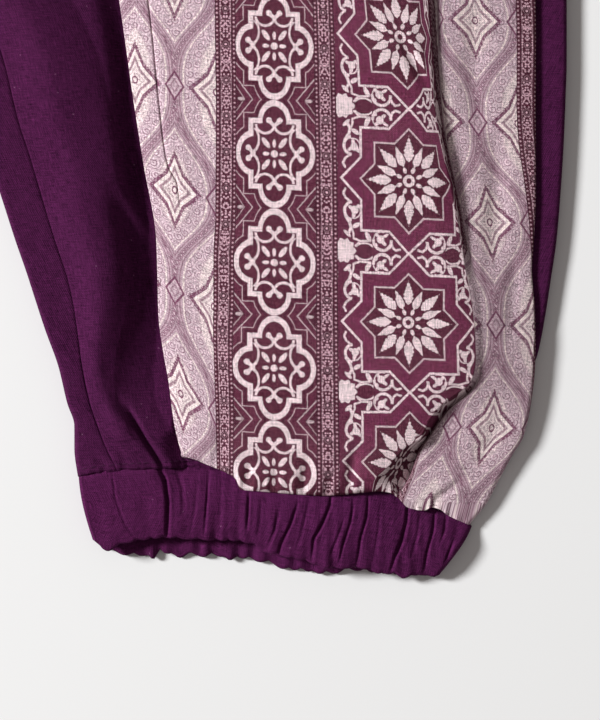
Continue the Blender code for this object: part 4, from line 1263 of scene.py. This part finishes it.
def sew(name, paths, material, settings):
    """Stitches along paths, each a list of points in millimetres with heights up the leg, as one plain mesh."""
    points, edges = [], []
    for path in paths:
        first = len(points)
        points += [(x * MM, (up - LENGTH / 2) * MM, z * MM) for x, up, z in path]
        edges += [(i, i + 1) for i in range(first, len(points) - 1)]
    mesh = bpy.data.meshes.new(name + " path")
    mesh.from_pydata(points, edges, [])
    carrier = bpy.data.objects.new(name + " path", mesh)
    bpy.context.scene.collection.objects.link(carrier)
    tree = bpy.data.node_groups.get("Stitches along paths") or stitch_tree()
    made = carrier.modifiers.new("Stitches", "NODES")
    made.node_group = tree
    wanted = {
        "Stitch spacing": settings.spacing, "Stitch length": settings.length, "Thread thickness": settings.thickness,
        "Unevenness": settings.unevenness, "Seed": settings.seed, "Thread": material,
    }
    for item in tree.interface.items_tree:
        if item.item_type == "SOCKET" and item.in_out == "INPUT" and item.name in wanted:
            made[item.identifier] = wanted[item.name]
    settled = carrier.evaluated_get(bpy.context.evaluated_depsgraph_get())
    piece = bpy.data.objects.new(name, bpy.data.meshes.new_from_object(settled))
    bpy.context.scene.collection.objects.link(piece)
    bpy.data.objects.remove(carrier)
    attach(piece, BODY)


# ---------------------------------------------------------------------------------------------------------
# Settings and operators
# ---------------------------------------------------------------------------------------------------------
def colour_property(name, description, default):
    return FloatVectorProperty(
        name=name, description=description, default=default, size=3, min=0, max=1, subtype="COLOR")


def amount(name, description, default, **limits):
    return FloatProperty(name=name, description=description, default=default, **limits)


class HaremClothSettings(PropertyGroup):
    thickness: amount(
        "Cloth thickness", "Thickness of one layer of cloth", 0.0008, min=0.0004, max=0.0012, precision=4,
        unit="LENGTH")
    plum: colour_property("Plum", "Colour of the plain cloth", ink(70, 24, 61))
    cuff_plum: colour_property("Cuff plum", "Colour of the cuffs and the waistband", ink(78, 27, 68))
    roughness: amount("Roughness", "How matt the plain cloth is", 0.9, min=0, max=1)
    sheen: amount("Sheen", "Light caught by the nap of the plain cloth", 0.0, min=0, max=1)
    lint: amount("Lint", "How strongly flecks of lint show", 0.5, min=0, max=1, subtype="FACTOR")


class HaremPrintSettings(PropertyGroup):
    pale_ink: colour_property("Pale lines", "Colour of the drawn lines and petals", ink(227, 207, 211))
    wine: colour_property("Wine", "Dark ground inside the motifs and of the narrow borders", ink(79, 32, 48))
    magenta: colour_property("Magenta", "Ground of the star and quatrefoil bands", ink(100, 42, 66))
    light_ground: colour_property("Light ground", "Ground of the ogee bands", ink(219, 198, 206))
    mauve: colour_property("Mauve", "Lines of the ogee bands", ink(104, 50, 80))
    roughness: amount("Roughness", "How matt the printed cloth is", 0.88, min=0, max=1)
    sheen: amount("Sheen", "Light caught by the nap of the printed cloth", 0.0, min=0, max=1)


class HaremStitchSettings(PropertyGroup):
    spacing: amount(
        "Spacing", "From the start of one stitch to the next", 0.0026, min=0.001, precision=4, unit="LENGTH")
    length: amount("Length", "Length of a stitch", 0.0021, min=0.0005, precision=4, unit="LENGTH")
    thickness: amount(
        "Thread thickness", "Thickness of the sewing thread", 0.0004, min=0.0001, precision=4, unit="LENGTH")
    unevenness: amount("Unevenness", "How far stitches turn out of line, in radians", 0.07, min=0)
    seed: IntProperty(name="Seed", description="Start of the random turns", default=7)
    colour: colour_property("Thread", "Colour of the sewing thread", ink(64, 22, 56))


class HaremStageSettings(PropertyGroup):
    table: colour_property("Table", "Colour of the table top", (0.826, 0.834, 0.834))
    key: amount("Window light", "Power of the large light at the left, in watts", 400.0, min=0)
    fill: amount("Room light", "Strength of the even light all round", 0.222, min=0)
    lens: amount("Lens", "Focal length of the camera, in millimetres", 100.0, min=10)


class HaremPantsSettings(PropertyGroup):
    cloth: PointerProperty(type=HaremClothSettings, name="Cloth", description="Plain cloth")
    print: PointerProperty(type=HaremPrintSettings, name="Print", description="Printed cloth")
    stitch: PointerProperty(type=HaremStitchSettings, name="Stitches", description="Stitches along the seams")
    stage: PointerProperty(type=HaremStageSettings, name="Stage", description="Table, lights and camera")


def material_for(kind, settings):
    """The material of one kind of cloth, made once."""
    names = {"plum": "Plum cotton", "cuff": "Cuff cotton", "print": "Printed cotton", "thread": "Plum thread"}
    found = bpy.data.materials.get(names[kind])
    if found:
        return found
    cloth = settings.cloth
    if kind == "print":
        return printed_material(names[kind], settings.print)
    if kind == "thread":
        return thread_material(names[kind], tuple(settings.stitch.colour))
    colour = cloth.plum if kind == "plum" else cloth.cuff_plum
    return plum_material(names[kind], tuple(colour), cloth)


SIDES = (("left", False, 1.0), ("right", True, 0.5))  # the wearer's side, mirrored or not, and how fine the mesh is
STITCH_PROUD = 0.12  # how far a stitch's middle stands above the cloth, in millimetres

# The stage, in metres.
TABLE_HALF, TABLE_TOP = 20.0, -0.0002
CUFF_MIDDLE = (0.1889, -0.3708, 0.009)  # what the camera and the window light look at
LIGHT_DISTANCE = 5.0
VIEW_HEIGHT = 0.2592  # how much of the table the camera sees, from the top of its view to the foot
SENSOR = 36.0  # the camera's sensor, in millimetres
ROOM_COLOUR = (1.0, 0.915, 0.89, 1.0)


def make_piece(context, name, node, shape, kind, ring=False, mirror=False):
    """Make one sheet of cloth from its shape, attach it to the body and hide the part of model.glb that it stands
    for.
    """
    settings = context.scene.harem_pants
    points, cloth, skip = shape
    piece = make_cloth(
        name, points, cloth, material_for(kind, settings), settings.cloth.thickness, ring, skip, mirror)
    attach(piece, BODY)
    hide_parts(node)


def make_pair(context, name, node, shape, kind, ring=False):
    """Make a sheet of cloth for the left leg, and its mirror image for the right."""
    for side, mirror, fine in SIDES:
        make_piece(
            context, f"{name}_{side}", f"{node}_{side}", shape(fine), kind,
            ring, mirror)


class HAREM_OT_backs(Operator):
    """Make the back of each leg, which rolls up round both sides."""
    bl_idname = "harem.backs"
    bl_label = "Backs"

    def execute(self, context):
        make_pair(context, "Back", "back", back, "plum")
        return {"FINISHED"}


class HAREM_OT_plain_fronts(Operator):
    """Make the plain inner front of each leg."""
    bl_idname = "harem.plain_fronts"
    bl_label = "Plain fronts"

    def execute(self, context):
        make_pair(context, "Plain_front", "front", plain_front, "plum")
        return {"FINISHED"}


class HAREM_OT_printed_fronts(Operator):
    """Make the printed outer front of each leg."""
    bl_idname = "harem.printed_fronts"
    bl_label = "Printed fronts"

    def execute(self, context):
        make_pair(
            context, "Printed_front", "print_panel", print_panel, "print")
        return {"FINISHED"}


class HAREM_OT_cuffs(Operator):
    """Make the gathered elastic cuffs."""
    bl_idname = "harem.cuffs"
    bl_label = "Cuffs"

    def execute(self, context):
        make_pair(context, "Cuff", "cuff", cuff, "cuff", ring=True)
        return {"FINISHED"}


class HAREM_OT_waistband(Operator):
    """Make the gathered elastic waistband."""
    bl_idname = "harem.waistband"
    bl_label = "Waistband"

    def execute(self, context):
        make_piece(
            context, "Waistband", "waistband", waistband(), "cuff", ring=True)
        return {"FINISHED"}


class HAREM_OT_stitching(Operator):
    """Sew the visible stitches along the cuff seams and across the waistband."""
    bl_idname = "harem.stitching"
    bl_label = "Stitching"

    def execute(self, context):
        settings = context.scene.harem_pants
        proud = np.array([0, 0, STITCH_PROUD])
        thread = material_for("thread", settings)
        paths = [back(1.0)[0][2, -20:-4] + proud, plain_front(1.0)[0][2, 4:-6] + proud]
        for side, mirror, _ in SIDES:
            sewn = [path * np.array([-1, 1, 1]) for path in paths] if mirror else paths
            sew(f"Stitches_{side}", sewn, thread, settings.stitch)
        sew("Stitches_waist", [waistband()[0][12, 6:205] + proud], thread, settings.stitch)
        return {"FINISHED"}


class HAREM_OT_stage(Operator):
    """Make the table, the lights and the camera, which looks straight down at the left cuff."""
    bl_idname = "harem.stage"
    bl_label = "Table, lights and camera"

    def execute(self, context):
        scene, stage = context.scene, context.scene.harem_pants.stage
        mesh = bpy.data.meshes.new("Table")
        corners = [(x * TABLE_HALF, y * TABLE_HALF, TABLE_TOP) for x, y in ((-1, -1), (1, -1), (1, 1), (-1, 1))]
        mesh.from_pydata(corners, [], [(0, 1, 2, 3)])
        mesh.materials.append(
            blank_material("Pale table", {"Base Color": (*stage.table, 1.0), "Roughness": 0.6})[0])
        table = bpy.data.objects.new("Table", mesh)
        scene.collection.objects.link(table)

        target = Vector(CUFF_MIDDLE)
        elevation, azimuth = math.radians(31), math.radians(163)
        lamp = bpy.data.lights.new("Window light", "AREA")
        lamp.shape, lamp.size, lamp.energy = "DISK", 1.1, stage.key
        key = bpy.data.objects.new("Window light", lamp)
        key.location = target + LIGHT_DISTANCE * Vector((
            math.cos(elevation) * math.cos(azimuth), math.cos(elevation) * math.sin(azimuth), math.sin(elevation)))
        key.rotation_euler = (target - key.location).to_track_quat("-Z", "Y").to_euler()
        scene.collection.objects.link(key)

        world = bpy.data.worlds.new("Room")
        world.use_nodes = True
        background = world.node_tree.nodes["Background"]
        background.inputs["Color"].default_value = ROOM_COLOUR
        background.inputs["Strength"].default_value = stage.fill
        scene.world = world

        view = bpy.data.cameras.new("Camera")
        view.lens, view.sensor_width, view.sensor_height = stage.lens, SENSOR, SENSOR
        view.clip_start, view.clip_end = 0.01, 50.0
        camera = bpy.data.objects.new("Camera", view)
        camera.location = target + Vector((0, 0, stage.lens / SENSOR * VIEW_HEIGHT))
        scene.collection.objects.link(camera)
        scene.camera = camera
        scene.view_settings.view_transform = "Standard"
        return {"FINISHED"}


STEPS = (
    HAREM_OT_stage, HAREM_OT_backs, HAREM_OT_plain_fronts, HAREM_OT_printed_fronts, HAREM_OT_cuffs,
    HAREM_OT_waistband, HAREM_OT_stitching,
)


class HAREM_PT_pants(Panel):
    """Lists the pieces of the pants and their settings"""
    bl_label = "Harem pants"
    bl_space_type = "VIEW_3D"
    bl_region_type = "UI"
    bl_category = "Harem pants"

    def draw(self, context):
        settings = context.scene.harem_pants
        for group in (settings.cloth, settings.print, settings.stitch, settings.stage):
            box = self.layout.box()
            for name in group.bl_rna.properties.keys():
                if name not in ("rna_type", "name"):
                    box.prop(group, name)
        for step in STEPS:
            self.layout.operator(step.bl_idname)


CLASSES = (
    HaremClothSettings, HaremPrintSettings, HaremStitchSettings, HaremStageSettings, HaremPantsSettings, *STEPS,
    HAREM_PT_pants,
)


def register():
    for cls in CLASSES:
        bpy.utils.register_class(cls)
    bpy.types.Scene.harem_pants = PointerProperty(type=HaremPantsSettings)


def unregister():
    del bpy.types.Scene.harem_pants
    for cls in reversed(CLASSES):
        bpy.utils.unregister_class(cls)


def main():
    register()
    for step in STEPS:
        group, name = step.bl_idname.split(".")
        getattr(getattr(bpy.ops, group), name)()


if __name__ == "__main__":
    main()
